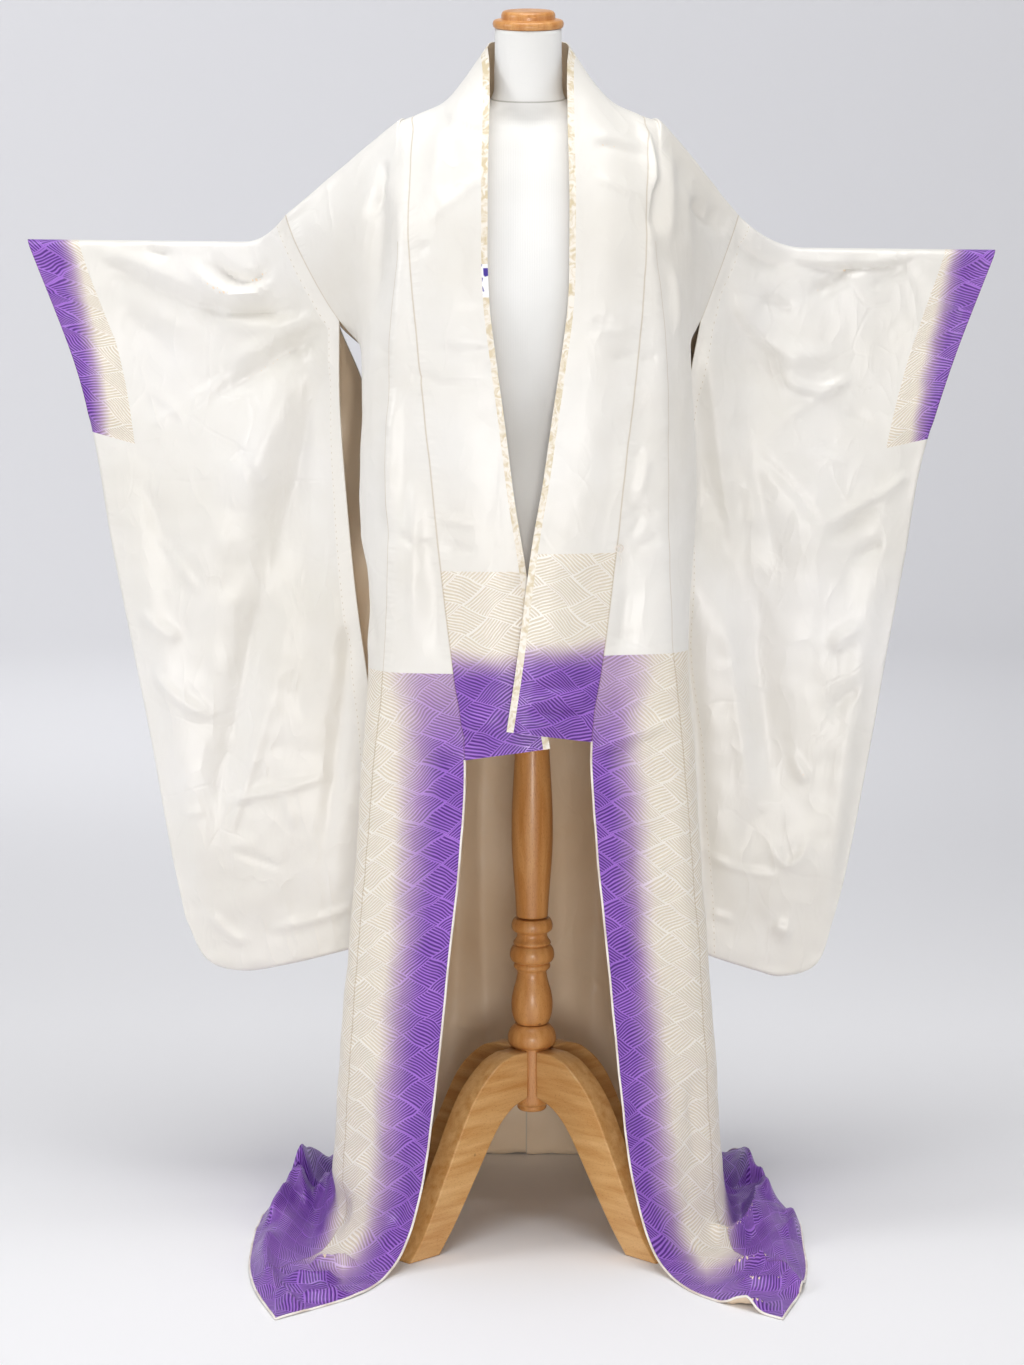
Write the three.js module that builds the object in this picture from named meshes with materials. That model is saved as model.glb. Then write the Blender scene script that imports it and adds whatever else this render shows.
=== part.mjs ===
// A lined furisode, shown with its lining outward and hung open on a limbless dress form.
// Millimetres, +Z up, the wearer faces -Y. "right" and "left" are the wearer's own sides.
// The cloth is one middle surface of joined panels. Each cut piece takes its own cells of
// that surface and is thickened into a wall, so that neighbours meet edge to edge at seams.

import * as THREE from "three";
import { mergeVertices } from "three/addons/utils/BufferGeometryUtils.js";

// ---- driving dimensions -------------------------------------------------------------------

const WALL = 2.0; // two layers of silk with their turned hems
const SEAM_GAP = 0.3; // between neighbouring pieces
const FACE_STRIP = 0.08; // share of the collar's width where the face cloth shows at its edge
const LEAN = -6; // the neck and fronts sit this far to the wearer's right
const SLEEVE_LEAN = -21; // the sleeves and shoulders lean further, by this much
const SIDE_DROP = 12; // the left front is held this much higher than the mean, the right lower
const LAP = 7; // the left collar end lies this far in front of the mean, the right behind
const FOLD_RADIUS = 5.5; // half the space in a sleeve's sewn edge
const ROD_FOLD = 11; // radius of the sleeve's top fold where it runs over the rod
const SLEEVE_BILLOW = 15; // how much further each layer of a sleeve stands off between its edges
const CUFF_GAPE = 5; // and at the open cuff
const SLEEVE_DEPTH = 1000; // from the top fold to the bottom
const SLEEVE_WIDTH = 350; // from the armhole to the outer edge
const SEAM_SHARE = 0.14; // the sleeve seam's share of the sleeve's depth
const CUFF_SHARE = 0.285; // the cuff opening's share of the sleeve's depth
const CUFF_WIDTH = 0.82; // the cuff facing starts this far across the sleeve
const FURI_SPREAD = [66, 0]; // distance between the two inner edges at the armpit and below
const ROD_RADIUS = 9.2;
const ROD_Y = 120;
const ROD_TOP = 1319.8; // height of the top folds above the pole's axis
const ROD_SLOPE = -0.0108; // the rod falls this much per millimetre toward the left
const ROD_ENDS = [-660, 605];

const SILK = { color: "#efe8dc", roughness: 0.45, metalness: 0 };
const DAMASK = { color: "#e9dcc6", roughness: 0.5, metalness: 0 };
const PURPLE = { color: "#5f3aa0", roughness: 0.45, metalness: 0 };
const JERSEY = { color: "#f1efea", roughness: 0.9, metalness: 0 };
const BEECH = { color: "#d8a566", roughness: 0.4, metalness: 0 };

// ---- the body, collar and train as sections -----------------------------------------------
// A row for each section from the shoulder ridge down, a column for each line along the cloth:
// the collar's edge and middle, the collar seam (below the collar the free front edge), the
// okumi seam, the fold at the side of the front, and the side edge. Mean of both sides.

const FRONT_ROWS = [
  { at: "ridge", edge: [52, 8, 1580], mid: [100, 4, 1514], seam: [145, 0, 1489],
    okumi: [162, -2, 1483], fold: [181, 0, 1473], side: [300, 70, 1360] },
  { at: "upper chest", edge: [50, -36, 1552], mid: [101, -38, 1500], seam: [149, -36, 1467],
    okumi: [166, -33, 1459], fold: [188, -22, 1441], side: [296, 64, 1347] },
  { at: "chest", edge: [50, -76, 1488], mid: [103, -82, 1452], seam: [151, -74, 1415],
    okumi: [166, -68, 1408], fold: [194, -46, 1385], side: [285, 58, 1318] },
  { at: "okumi point", edge: [52, -116, 1385], mid: [104, -121, 1360], seam: [151, -106, 1333],
    okumi: [163, -100, 1328], fold: [203, -54, 1308], side: [262, 54, 1266] },
  { at: "armpit", edge: [51, -131, 1268], mid: [100, -133, 1258], seam: [146, -118, 1250],
    okumi: [172, -106, 1245], fold: [209, -48, 1238], side: [240, 58, 1222] },
  { at: "side slit", edge: [42, -135, 1185], mid: [92, -136, 1183], seam: [140, -122, 1180],
    okumi: [178, -108, 1175], fold: [214, -36, 1165], side: [205, 50, 1168] },
  { at: "slit end", edge: [30, -139, 1100], mid: [82, -140, 1100], seam: [132, -128, 1100],
    okumi: [180, -110, 1098], fold: [217, -28, 1095], side: [186, 86, 1095] },
  { at: "waist", edge: [18, -142, 1010], mid: [70, -143, 1010], seam: [122, -132, 1010],
    okumi: [180, -112, 1010], fold: [221, -24, 1010], side: [183, 92, 1010] },
  { at: "collar end seam", edge: [3, -148, 920], mid: [58, -147, 920], seam: [113, -135, 920],
    okumi: [182, -115, 920], fold: [217, -24, 920], side: [182, 95, 920] },
  { at: "hakkake seam", edge: [-14, -156, 787], mid: [42, -153, 787], seam: [97, -140, 787],
    okumi: [188, -115, 787], fold: [206, -26, 787], side: [182, 97, 787] },
  { at: "collar end", edge: [-28, -163, 692], mid: [27, -159, 684], seam: [82, -146, 675],
    okumi: [200, -115, 675], fold: [207, -28, 675], side: [183, 100, 675] },
  { at: "thigh", seam: [89, -155, 540],
    okumi: [211, -111, 540], fold: [217, -28, 540], side: [186, 102, 540] },
  { at: "knee", seam: [104, -163, 400],
    okumi: [224, -105, 400], fold: [231, -26, 400], side: [193, 106, 400] },
  { at: "calf", seam: [118, -170, 260],
    okumi: [235, -98, 260], fold: [246, -16, 260], side: [220, 130, 260] },
  { at: "ankle", seam: [134, -182, 130],
    okumi: [244, -92, 130], fold: [258, -10, 130], side: [246, 140, 130] },
  { at: "break", seam: [155, -206, 46], okumi: [252, -98, 40], fold: [270, -12, 46], side: [262, 134, 50] },
  { at: "touch down", seam: [180, -240, 7],
    okumi: [272, -130, 1], fold: [290, -24, 6], side: [286, 126, 10] },
  { at: "train", seam: [222, -318, 1], okumi: [312, -205, 6], fold: [330, -76, 24], side: [326, 92, 26] },
  { at: "hem", seam: [316, -407, 1], okumi: [352, -282, 1], fold: [366, -150, 1], side: [358, 44, 1] },
];

// The back below the same shoulder ridge. Its seam column runs round the neckline to the centre
// back and then down the centre seam. From the slit's end the side edge is the front's own.

const BACK_ROWS = [
  { at: "yoke", edge: [30, 58, 1586], mid: [62, 72, 1530], seam: [92, 80, 1482],
    okumi: [122, 74, 1475], fold: [165, 74, 1450], side: [296, 118, 1345] },
  { at: "nape", edge: [0, 74, 1588], mid: [0, 98, 1528], seam: [0, 116, 1470],
    okumi: [70, 116, 1453], fold: [140, 118, 1418], side: [284, 143, 1310] },
  { at: "shoulder blade", seam: [0, 131, 1400],
    okumi: [75, 134, 1382], fold: [148, 138, 1342], side: [266, 148, 1262] },
  { at: "armpit", seam: [0, 144, 1300],
    okumi: [82, 149, 1286], fold: [160, 150, 1262], side: [244, 142, 1212] },
  { at: "side slit", seam: [0, 155, 1200],
    okumi: [84, 163, 1190], fold: [160, 158, 1176], side: [200, 118, 1160] },
  { at: "slit end", seam: [0, 168, 1100], okumi: [84, 177, 1098], fold: [152, 156, 1096] },
  { at: "waist", seam: [0, 180, 1010], okumi: [84, 190, 1010], fold: [152, 163, 1010] },
  { at: "hip", seam: [0, 191, 920], okumi: [86, 200, 920], fold: [153, 170, 920] },
  { at: "hakkake seam", seam: [0, 207, 787], okumi: [88, 214, 787], fold: [156, 180, 787] },
  { at: "seat", seam: [0, 221, 675], okumi: [90, 227, 675], fold: [158, 190, 675] },
  { at: "thigh", seam: [0, 238, 540], okumi: [93, 242, 540], fold: [162, 200, 540] },
  { at: "knee", seam: [0, 256, 400], okumi: [97, 258, 400], fold: [170, 212, 400] },
  { at: "calf", seam: [0, 274, 260], okumi: [102, 274, 260], fold: [190, 228, 260] },
  { at: "ankle", seam: [0, 292, 130], okumi: [108, 288, 130], fold: [208, 238, 130] },
  { at: "break", seam: [0, 306, 46], okumi: [112, 300, 46], fold: [218, 246, 50] },
  { at: "touch down", seam: [0, 326, 2], okumi: [118, 322, 2], fold: [232, 260, 8] },
  { at: "train", seam: [0, 370, 8], okumi: [130, 362, 10], fold: [262, 276, 20] },
  { at: "hem", seam: [0, 412, 1], okumi: [140, 398, 1], fold: [284, 276, 1] },
];

const COLLAR_END_ROW = 10; // the collar is cut off at this front row
const COLLAR_SEAM_ROW = 8; // the damask end piece starts here
const OKUMI_ROW = 3; // the okumi starts here
const NAPE_ROW = 2; // the back row where the neckline reaches the centre
const ARMPIT_ROW = 4; // the sleeve seam ends here
const SLIT_ROW = 6; // the side slit ends here and the side seam begins
const HAKKAKE_ROW = 9; // plain lining above this row, damask hem lining below

// ---- the sleeves as boundary curves -------------------------------------------------------
// Each hangs from the rod in two layers. Points of the open inner edge run from the armpit
// down, the outer edge runs from the cuff down, the bottom from the inner edge outward.

const SLEEVES = {
  right: {
    cuff: -677,
    rodStart: -385,
    furi: [
      [-257, 70, 1115], [-249, 80, 980], [-237, 88, 844], [-223, 98, 734],
      [-214, 104, 651], [-213, 108, 567], [-217, 112, 427], [-221, 114, 363],
    ],
    outer: [
      [-612, 116, 1150], [-590, 114, 1050], [-571, 112, 924], [-546, 112, 787],
      [-521, 112, 650], [-496, 112, 497], [-477, 112, 400],
    ],
    bottom: [[-262, 114, 352], [-340, 114, 333], [-402, 113, 325], [-447, 112, 340]],
  },
  left: {
    cuff: 622,
    rodStart: 365,
    furi: [
      [206, 72, 1115], [202, 84, 980], [201, 92, 844], [204, 98, 760],
      [216, 104, 651], [225, 108, 498], [230, 112, 420], [232, 114, 351],
    ],
    outer: [
      [563, 116, 1153], [526, 114, 1024], [506, 112, 897], [485, 112, 775],
      [465, 112, 650], [430, 112, 455], [416, 112, 400],
    ],
    bottom: [[262, 114, 340], [310, 114, 325], [343, 113, 317], [392, 112, 333]],
  },
};

// Largest folds of each sleeve: a ridge or, with a negative height, a trough, from one point
// to another in the sleeve's own measure (across from the body, down from the fold, 0 to 1).

const SLEEVE_FOLDS = [
  { across: 0.1, down: 0.12, toAcross: 0.95, toDown: 0.2, width: 0.07, height: -8 },
  { across: 0.04, down: 0.16, toAcross: 0.72, toDown: 0.46, width: 0.07, height: 9 },
  { across: 0.06, down: 0.22, toAcross: 0.55, toDown: 0.78, width: 0.09, height: -8 },
  { across: 0.88, down: 0.36, toAcross: 0.72, toDown: 0.92, width: 0.09, height: 7 },
  { across: 0.14, down: 0.4, toAcross: 0.2, toDown: 0.95, width: 0.1, height: 6 },
];

// Soft lengthwise folds of the body panels, by column and row of the tables above.

const BODY_FOLDS = [
  { column: 1.5, from: 3, to: 12, width: 0.28, height: 5 },
  { column: 2.45, from: 5, to: 14, width: 0.3, height: -7 },
  { column: 0.55, from: -16, to: -3, width: 0.26, height: -8 },
  { column: 1.3, from: -16, to: -4, width: 0.3, height: 8 },
  { column: 2.2, from: -15, to: -6, width: 0.3, height: -6 },
];

// ---- the dress form and stand -------------------------------------------------------------
// Sections of the form: height, half width, front, back, and how far the section tips forward.

const FORM_SECTIONS = [
  { z: 772, half: 150, front: -88, back: 98, tip: 0 },
  { z: 790, half: 160, front: -97, back: 108, tip: 0 },
  { z: 860, half: 164, front: -101, back: 114, tip: 0 },
  { z: 960, half: 146, front: -94, back: 98, tip: 0 },
  { z: 1050, half: 126, front: -90, back: 86, tip: 0 },
  { z: 1140, half: 136, front: -108, back: 90, tip: 0 },
  { z: 1230, half: 150, front: -120, back: 99, tip: 0 },
  { z: 1309, half: 160, front: -114, back: 110.5, tip: 0 },
  { z: 1390, half: 168, front: -93, back: 104, tip: 0 },
  { z: 1440, half: 176, front: -72, back: 92, tip: 0 },
  { z: 1464, half: 173, front: -58, back: 72, tip: 0 },
  { z: 1478, half: 152, front: -44, back: 46, tip: 0 },
  { z: 1485, half: 118, front: -41, back: 40, tip: 0 },
  { z: 1495, half: 78, front: -43, back: 42, tip: 3 },
  { z: 1512, half: 48, front: -49, back: 46, tip: 8 },
  { z: 1550, half: 44, front: -52, back: 38, tip: 8 },
  { z: 1600, half: 43, front: -58, back: 29, tip: 8 },
];
const FORM_SIDES = 28;
const FORM_SQUARENESS = 2.3; // superellipse power of a section
const CAP_TIP = THREE.MathUtils.degToRad(8);

const CAP_PROFILE = [[0, 0], [42, 0], [46, 3], [46, 8], [42, 11], [35, 11.5], [35, 19], [31, 22], [0, 23]];
const HUB_RADIUS = 24.5;
const HUB_PROFILE = [
  [0, 158], [17, 158], [20, 162], [HUB_RADIUS, 168], [HUB_RADIUS, 246],
  [31, 252], [33, 262], [30, 272], [22, 278], [0, 278],
];
const LOWER_POLE_PROFILE = [
  [0, 278.3], [23, 278.3], [26.5, 290], [28, 305], [26, 323], [21, 341], [19.5, 351],
  [24, 355], [25, 359], [24, 362], [29, 364], [30, 373], [29, 383], [25, 386],
  [25.5, 391], [22, 397], [20, 401], [25, 405], [28, 413], [26, 422], [0, 424],
];
const UPPER_POLE_PROFILE = [
  [0, 424.3], [21, 424.3], [22, 430], [24.5, 470], [28, 544],
  [26.5, 596], [23, 643], [21.5, 700], [21, 771.6], [0, 771.6],
];
const TURNING_SIDES = 16;

const LEG_THICKNESS = 34;
const LEG_ROOT = HUB_RADIUS + SEAM_GAP;
const LEG_TOP = [[LEG_ROOT, 245.5], [52, 245.5], [84, 234], [127, 194], [171, 117], [214, 38], [244, 0]];
const LEG_UNDER = [[190, 0], [162, 34], [127, 84], [84, 146], [54, 172], [LEG_ROOT, 182]];
const LEG_CURVE_STEPS = 5; // straight pieces between two points of a leg's outline

// ---- where a change comes in: from the first value, where it is nothing, to the second -----

const SLEEVES_LEAN_FROM = [180, 300]; // distance from the pole
const SLEEVES_LEAN_ABOVE = [1050, 1230]; // height
const FRONT_HELD_ABOVE = [300, 650]; // height
const FRONT_HELD_BELOW = [1180, 930]; // height
const FRONT_HELD_BEFORE = [60, -60]; // depth
const LAP_ROWS = [6, 8]; // the collar ends part over these rows
const BODY_FOLD_EASE = 0.25; // columns from an edge over which body folds come in
const BODY_FOLD_RUN_IN = 2; // rows over which a body fold comes in at each end
const BODY_FOLD_DEPTHWISE = 1.6; // body folds stand out this much more to the front and back
const FOLD_RUN_IN = [-0.1, 0.3]; // share of a sleeve fold's length
const FOLD_RUN_OUT = [1.1, 0.7];
const ARMHOLE_EASE = [0, 0.12]; // across the sleeve
const OUTER_EASE = [1, 0.95];
const GAPE_EASE = [0.7, 1];
const ARMPIT_EASE = [SEAM_SHARE, 0.24]; // down the sleeve
const CUFF_EASE = [CUFF_SHARE - 0.03, CUFF_SHARE];
const ROD_EASE = [0.1, 0.02];
const TOP_EASE = [0, 0.08];
const BOTTOM_EASE = [1, 0.94];
const BILLOW_TOP_EASE = [0.05, 0.4];
const BILLOW_BOTTOM_EASE = [1, 0.8];
const SEAM_DRAW = 0.7; // each side of a seam draws in by this share of the gap, as walls turn there
const MERGE_STEP = 0.02; // points closer than this are one

// ---- small helpers ------------------------------------------------------------------------

const SIDES = { right: -1, left: 1 };

// A smooth step from 0 at one value to 1 at another, in either direction.
function smooth(from, to, value) {
  const part = THREE.MathUtils.clamp((value - from) / (to - from), 0, 1);
  return part * part * (3 - 2 * part);
}

const vector = ([x, y, z]) => new THREE.Vector3(x, y, z);

function bump(distance, width) {
  return Math.exp(-((distance / width) ** 2));
}

function named(name, geometry, finish) {
  const mesh = new THREE.Mesh(geometry, new THREE.MeshStandardMaterial(finish));
  mesh.name = name;
  return mesh;
}

function closedGeometry(positions, indices) {
  const geometry = new THREE.BufferGeometry();
  geometry.setAttribute("position", new THREE.Float32BufferAttribute(positions, 3));
  geometry.setIndex(indices);
  return geometry;
}

// ---- the middle surface of the cloth ------------------------------------------------------

// Places a point of the mean tables on one side, with the garment's lean.
function place(side, point) {
  const [x, y, z] = point;
  const outward = smooth(...SLEEVES_LEAN_FROM, Math.abs(x)) * smooth(...SLEEVES_LEAN_ABOVE, z);
  const height = smooth(...FRONT_HELD_ABOVE, z) * smooth(...FRONT_HELD_BELOW, z);
  const held = height * smooth(...FRONT_HELD_BEFORE, y);
  const lean = LEAN + SLEEVE_LEAN * outward;
  return new THREE.Vector3(side * x + lean, y, z + side * SIDE_DROP * held);
}

const COLUMNS = ["seam", "okumi", "fold", "side"];
const ALL_ROWS = [...BACK_ROWS.toReversed(), ...FRONT_ROWS];
const RIDGE = BACK_ROWS.length;

// Fills the side edge of the lower back rows from the front rows at the same height.
BACK_ROWS.forEach((row, index) => {
  row.side ??= FRONT_ROWS[index + 1].side;
});

// One spline down each column, for the body and for the collar, on one side of the garment.
function columnSplines(side) {
  const splines = {};
  for (const column of COLUMNS) {
    const points = ALL_ROWS.map((row) => place(side, row[column]));
    splines[column] = new THREE.CatmullRomCurve3(points, false, "catmullrom", 0.5);
  }
  const collarRows = ALL_ROWS.slice(RIDGE - NAPE_ROW, RIDGE + COLLAR_END_ROW + 1);
  for (const column of ["edge", "mid"]) {
    const points = collarRows.map((row) => place(side, row[column]));
    splines[column] = new THREE.CatmullRomCurve3(points, false, "catmullrom", 0.5);
  }
  return splines;
}

const SPLINES = { right: columnSplines(SIDES.right), left: columnSplines(SIDES.left) };

function columnPoint(sideName, column, row) {
  const spline = SPLINES[sideName][column];
  if (column === "edge" || column === "mid") {
    return spline.getPoint((row + NAPE_ROW) / (NAPE_ROW + COLLAR_END_ROW));
  }
  const sewn = column === "side" && row < -SLIT_ROW;
  const point = spline.getPoint(((sewn ? -row : row) + RIDGE) / (ALL_ROWS.length - 1));
  if (column === "seam" && row <= -NAPE_ROW) {
    point.x = LEAN;
  }
  return point;
}

// A point between columns: four neighbours of the cross section and a place between the middle two.
function crossSpline(neighbours, part) {
  const curve = new THREE.CatmullRomCurve3(neighbours, false, "catmullrom", 0.5);
  return curve.getPoint((1 + part) / 3);
}

// The body strip: column 0 at the collar seam or centre back, 3 at the side edge.
function bodyPoint(sideName, column, row) {
  const line = COLUMNS.map((name) => columnPoint(sideName, name, row));
  const cell = Math.min(Math.floor(column), COLUMNS.length - 2);
  const mirror = (from, about) => about.clone().multiplyScalar(2).sub(from);
  const padded = [mirror(line[1], line[0]), ...line, mirror(line[2], line[3])];
  if (Math.abs(row) >= SLIT_ROW) {
    padded[5] = columnPoint(sideName, "fold", -row);
  }
  if (row <= -NAPE_ROW) {
    padded[0] = new THREE.Vector3(2 * LEAN - line[1].x, line[1].y, line[1].z);
  }
  const point = crossSpline(padded.slice(cell, cell + 4), column - cell);
  const outward = new THREE.Vector3(point.x - LEAN, point.y * BODY_FOLD_DEPTHWISE, 0).normalize();
  point.addScaledVector(outward, bodyFold(column, row));
  point.z = Math.max(point.z, WALL / 2);
  return point;
}

function bodyFold(column, row) {
  let height = 0;
  for (const fold of BODY_FOLDS) {
    const runIn = smooth(fold.from, fold.from + BODY_FOLD_RUN_IN, row);
    const fade = runIn * smooth(fold.to, fold.to - BODY_FOLD_RUN_IN, row);
    height += fold.height * fade * bump(column - fold.column, fold.width);
  }
  return height * smooth(0, BODY_FOLD_EASE, column) * smooth(3, 3 - BODY_FOLD_EASE, column);
}

// The collar: across 0 at its free edge, 1 at its seam to the body.
function collarPoint(sideName, across, row) {
  const edge = columnPoint(sideName, "edge", row);
  const mid = columnPoint(sideName, "mid", row);
  const seam = columnPoint(sideName, "seam", row);
  const curve = new THREE.CatmullRomCurve3([edge, mid, seam], false, "catmullrom", 0.5);
  const point = across < 1 ? curve.getPoint(across) : seam;
  point.y -= SIDES[sideName] * LAP * (1 - across) * smooth(...LAP_ROWS, row);
  if (row === -NAPE_ROW) {
    point.x = LEAN;
  }
  return point;
}

// ---- sleeves ------------------------------------------------------------------------------

const rodTop = (x) => ROD_TOP + ROD_SLOPE * x;

function splineThrough(points) {
  return new THREE.CatmullRomCurve3(points, false, "centripetal", 0.5);
}

// The inner edge of one layer: along the body's side edge to the armpit, then free.
function innerEdge(sideName, layer, furi) {
  const rows = layer === "front" ? 1 : -1;
  const armpit = columnPoint(sideName, "side", rows * ARMPIT_ROW);
  const free = splineThrough([armpit, ...furi]);
  return (down) => {
    if (down <= SEAM_SHARE) {
      const row = (ARMPIT_ROW * down) / SEAM_SHARE;
      const above = Math.min(Math.floor(row + 1e-6), ARMPIT_ROW - 1);
      const start = columnPoint(sideName, "side", rows * above);
      return start.lerp(columnPoint(sideName, "side", rows * (above + 1)), row - above);
    }
    return free.getPointAt((down - SEAM_SHARE) / (1 - SEAM_SHARE));
  };
}

function sleeveSurface(sideName) {
  const table = SLEEVES[sideName];
  const ridge = columnPoint(sideName, "side", 0);
  const rodX = table.rodStart;
  const rodStart = new THREE.Vector3(rodX, ROD_Y, rodTop(rodX));
  const cuff = new THREE.Vector3(table.cuff, ROD_Y, rodTop(table.cuff));
  const bend = new THREE.Vector3((ridge.x + rodX) / 2, ROD_Y, rodTop(rodX) + 1);
  const top = new THREE.CurvePath();
  top.add(new THREE.QuadraticBezierCurve3(ridge, bend, rodStart));
  top.add(new THREE.LineCurve3(rodStart, cuff));
  const outer = splineThrough([cuff, ...table.outer.map(vector)]);
  const furiFront = table.furi.map(vector);
  const furiBack = furiFront.map((point, index) => {
    const spread = THREE.MathUtils.lerp(...FURI_SPREAD, Math.min(1, (index + 1) / 3));
    return point.clone().add(new THREE.Vector3(0, spread, 0));
  });
  const lowInner = furiFront.at(-1).clone().lerp(furiBack.at(-1), 0.5);
  furiFront[furiFront.length - 1] = lowInner;
  furiBack[furiBack.length - 1] = lowInner;
  const bottom = splineThrough([lowInner, ...table.bottom.map(vector), vector(table.outer.at(-1))]);
  const inner = {
    front: innerEdge(sideName, "front", furiFront),
    back: innerEdge(sideName, "back", furiBack),
  };
  return (layer, across, depth) => {
    const down = across === 0 && depth <= ROUND_DOWN.at(-1) ? 0 : depth;
    const sign = layer === "front" ? -1 : 1;
    const left = inner[layer](down);
    const right = outer.getPointAt(down);
    const upper = top.getPointAt(across);
    const lower = bottom.getPointAt(across);
    const corners = [inner[layer](0), top.getPointAt(1), inner[layer](1), outer.getPointAt(1)];
    const point = new THREE.Vector3();
    point.addScaledVector(left, 1 - across).addScaledVector(right, across);
    point.addScaledVector(upper, 1 - down).addScaledVector(lower, down);
    point.addScaledVector(corners[0], -(1 - across) * (1 - down));
    point.addScaledVector(corners[1], -across * (1 - down));
    point.addScaledVector(corners[2], -(1 - across) * down);
    point.addScaledVector(corners[3], -across * down);
    const inside = smooth(...ARMHOLE_EASE, across);
    const sewn = THREE.MathUtils.lerp(inside, 1, smooth(...ARMPIT_EASE, down));
    point.y += sign * layerOffset(across, down) * sewn;
    const clearOfEnds = smooth(...TOP_EASE, down) * smooth(...BOTTOM_EASE, down);
    point.y -= sleeveFold(across, down) * inside * smooth(...OUTER_EASE, across) * clearOfEnds;
    return point;
  };
}

// How far a layer stands off the sleeve's middle surface: round at its closed edges.
function layerOffset(across, down) {
  const round = (distance, radius) => Math.sqrt(1 - (1 - Math.min(distance / radius, 1)) ** 2);
  const fromTop = round(down * SLEEVE_DEPTH, ROD_FOLD);
  const fromBottom = round((1 - down) * SLEEVE_DEPTH, FOLD_RADIUS);
  const open = 1 - smooth(...CUFF_EASE, down);
  const fromOuter = Math.max(open, round((1 - across) * SLEEVE_WIDTH, FOLD_RADIUS));
  const nearTop = smooth(...ROD_EASE, down);
  const billow = Math.sin(Math.PI * across) * smooth(...BILLOW_TOP_EASE, down);
  const middle = billow * smooth(...BILLOW_BOTTOM_EASE, down);
  const gape = CUFF_GAPE * open * smooth(...GAPE_EASE, across) * (1 - nearTop);
  const stand = THREE.MathUtils.lerp(FOLD_RADIUS, ROD_FOLD, nearTop) + SLEEVE_BILLOW * middle + gape;
  return stand * fromTop * fromBottom * fromOuter;
}

function sleeveFold(across, down) {
  let height = 0;
  for (const fold of SLEEVE_FOLDS) {
    const runAcross = fold.toAcross - fold.across;
    const runDown = fold.toDown - fold.down;
    const length = runAcross ** 2 + runDown ** 2;
    const along = ((across - fold.across) * runAcross + (down - fold.down) * runDown) / length;
    const near = THREE.MathUtils.clamp(along, 0, 1);
    const distance = Math.hypot(across - fold.across - near * runAcross, down - fold.down - near * runDown);
    const fade = smooth(...FOLD_RUN_IN, along) * smooth(...FOLD_RUN_OUT, along);
    height += fold.height * bump(distance, fold.width) * fade;
  }
  return height;
}

// ---- cells, pieces and walls --------------------------------------------------------------

const cloth = { points: [], faces: [], keys: new Map() };

function clothVertex(point) {
  const key = [point.x, point.y, point.z].map((value) => Math.round(value / MERGE_STEP)).join(",");
  if (!cloth.keys.has(key)) {
    cloth.keys.set(key, cloth.points.length);
    cloth.points.push(point);
  }
  return cloth.keys.get(key);
}

// Adds a grid of cells. pieceAt names the piece a cell belongs to, or nothing where none is cut.
function addGrid(across, along, pointAt, pieceAt, flip) {
  const ids = along.map((row) => across.map((column) => clothVertex(pointAt(column, row))));
  for (let j = 0; j + 1 < along.length; j += 1) {
    for (let i = 0; i + 1 < across.length; i += 1) {
      const piece = pieceAt((across[i] + across[i + 1]) / 2, (along[j] + along[j + 1]) / 2);
      if (!piece) {
        continue;
      }
      const corners = [ids[j][i], ids[j][i + 1], ids[j + 1][i + 1], ids[j + 1][i]];
      addFace(piece, flip ? corners.toReversed() : corners);
    }
  }
}

function addFace(piece, corners) {
  const triangles = [[0, 1, 2], [0, 2, 3]];
  for (const triangle of triangles) {
    const ids = triangle.map((corner) => corners[corner]);
    if (new Set(ids).size === 3) {
      cloth.faces.push({ piece, ids });
    }
  }
}

function faceNormal(ids) {
  const [a, b, c] = ids.map((id) => cloth.points[id]);
  return b.clone().sub(a).cross(c.clone().sub(a));
}

function clothNormals() {
  const normals = cloth.points.map(() => new THREE.Vector3());
  for (const face of cloth.faces) {
    const normal = faceNormal(face.ids);
    face.ids.forEach((id) => normals[id].add(normal));
  }
  return normals.map((normal) => normal.normalize());
}

// The directed edges of a set of faces that no other of its faces shares.
function borderEdges(faces) {
  const edges = new Map();
  for (const { ids } of faces) {
    for (const [from, to] of [[ids[0], ids[1]], [ids[1], ids[2]], [ids[2], ids[0]]]) {
      if (!edges.delete(`${to},${from}`)) {
        edges.set(`${from},${to}`, [from, to]);
      }
    }
  }
  return edges;
}

// Where a border point moves, so that half a seam gap opens toward the neighbouring piece.
function seamPull(faces, freeEdges, normals) {
  const pull = new Map();
  for (const [key, [from, to]] of borderEdges(faces)) {
    if (freeEdges.has(key)) {
      continue;
    }
    for (const id of [from, to]) {
      const run = cloth.points[to].clone().sub(cloth.points[from]);
      const inward = normals[id].clone().cross(run).normalize();
      pull.set(id, (pull.get(id) ?? new THREE.Vector3()).add(inward));
    }
  }
  pull.forEach((inward) => inward.normalize().multiplyScalar(SEAM_GAP * SEAM_DRAW));
  return pull;
}

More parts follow.
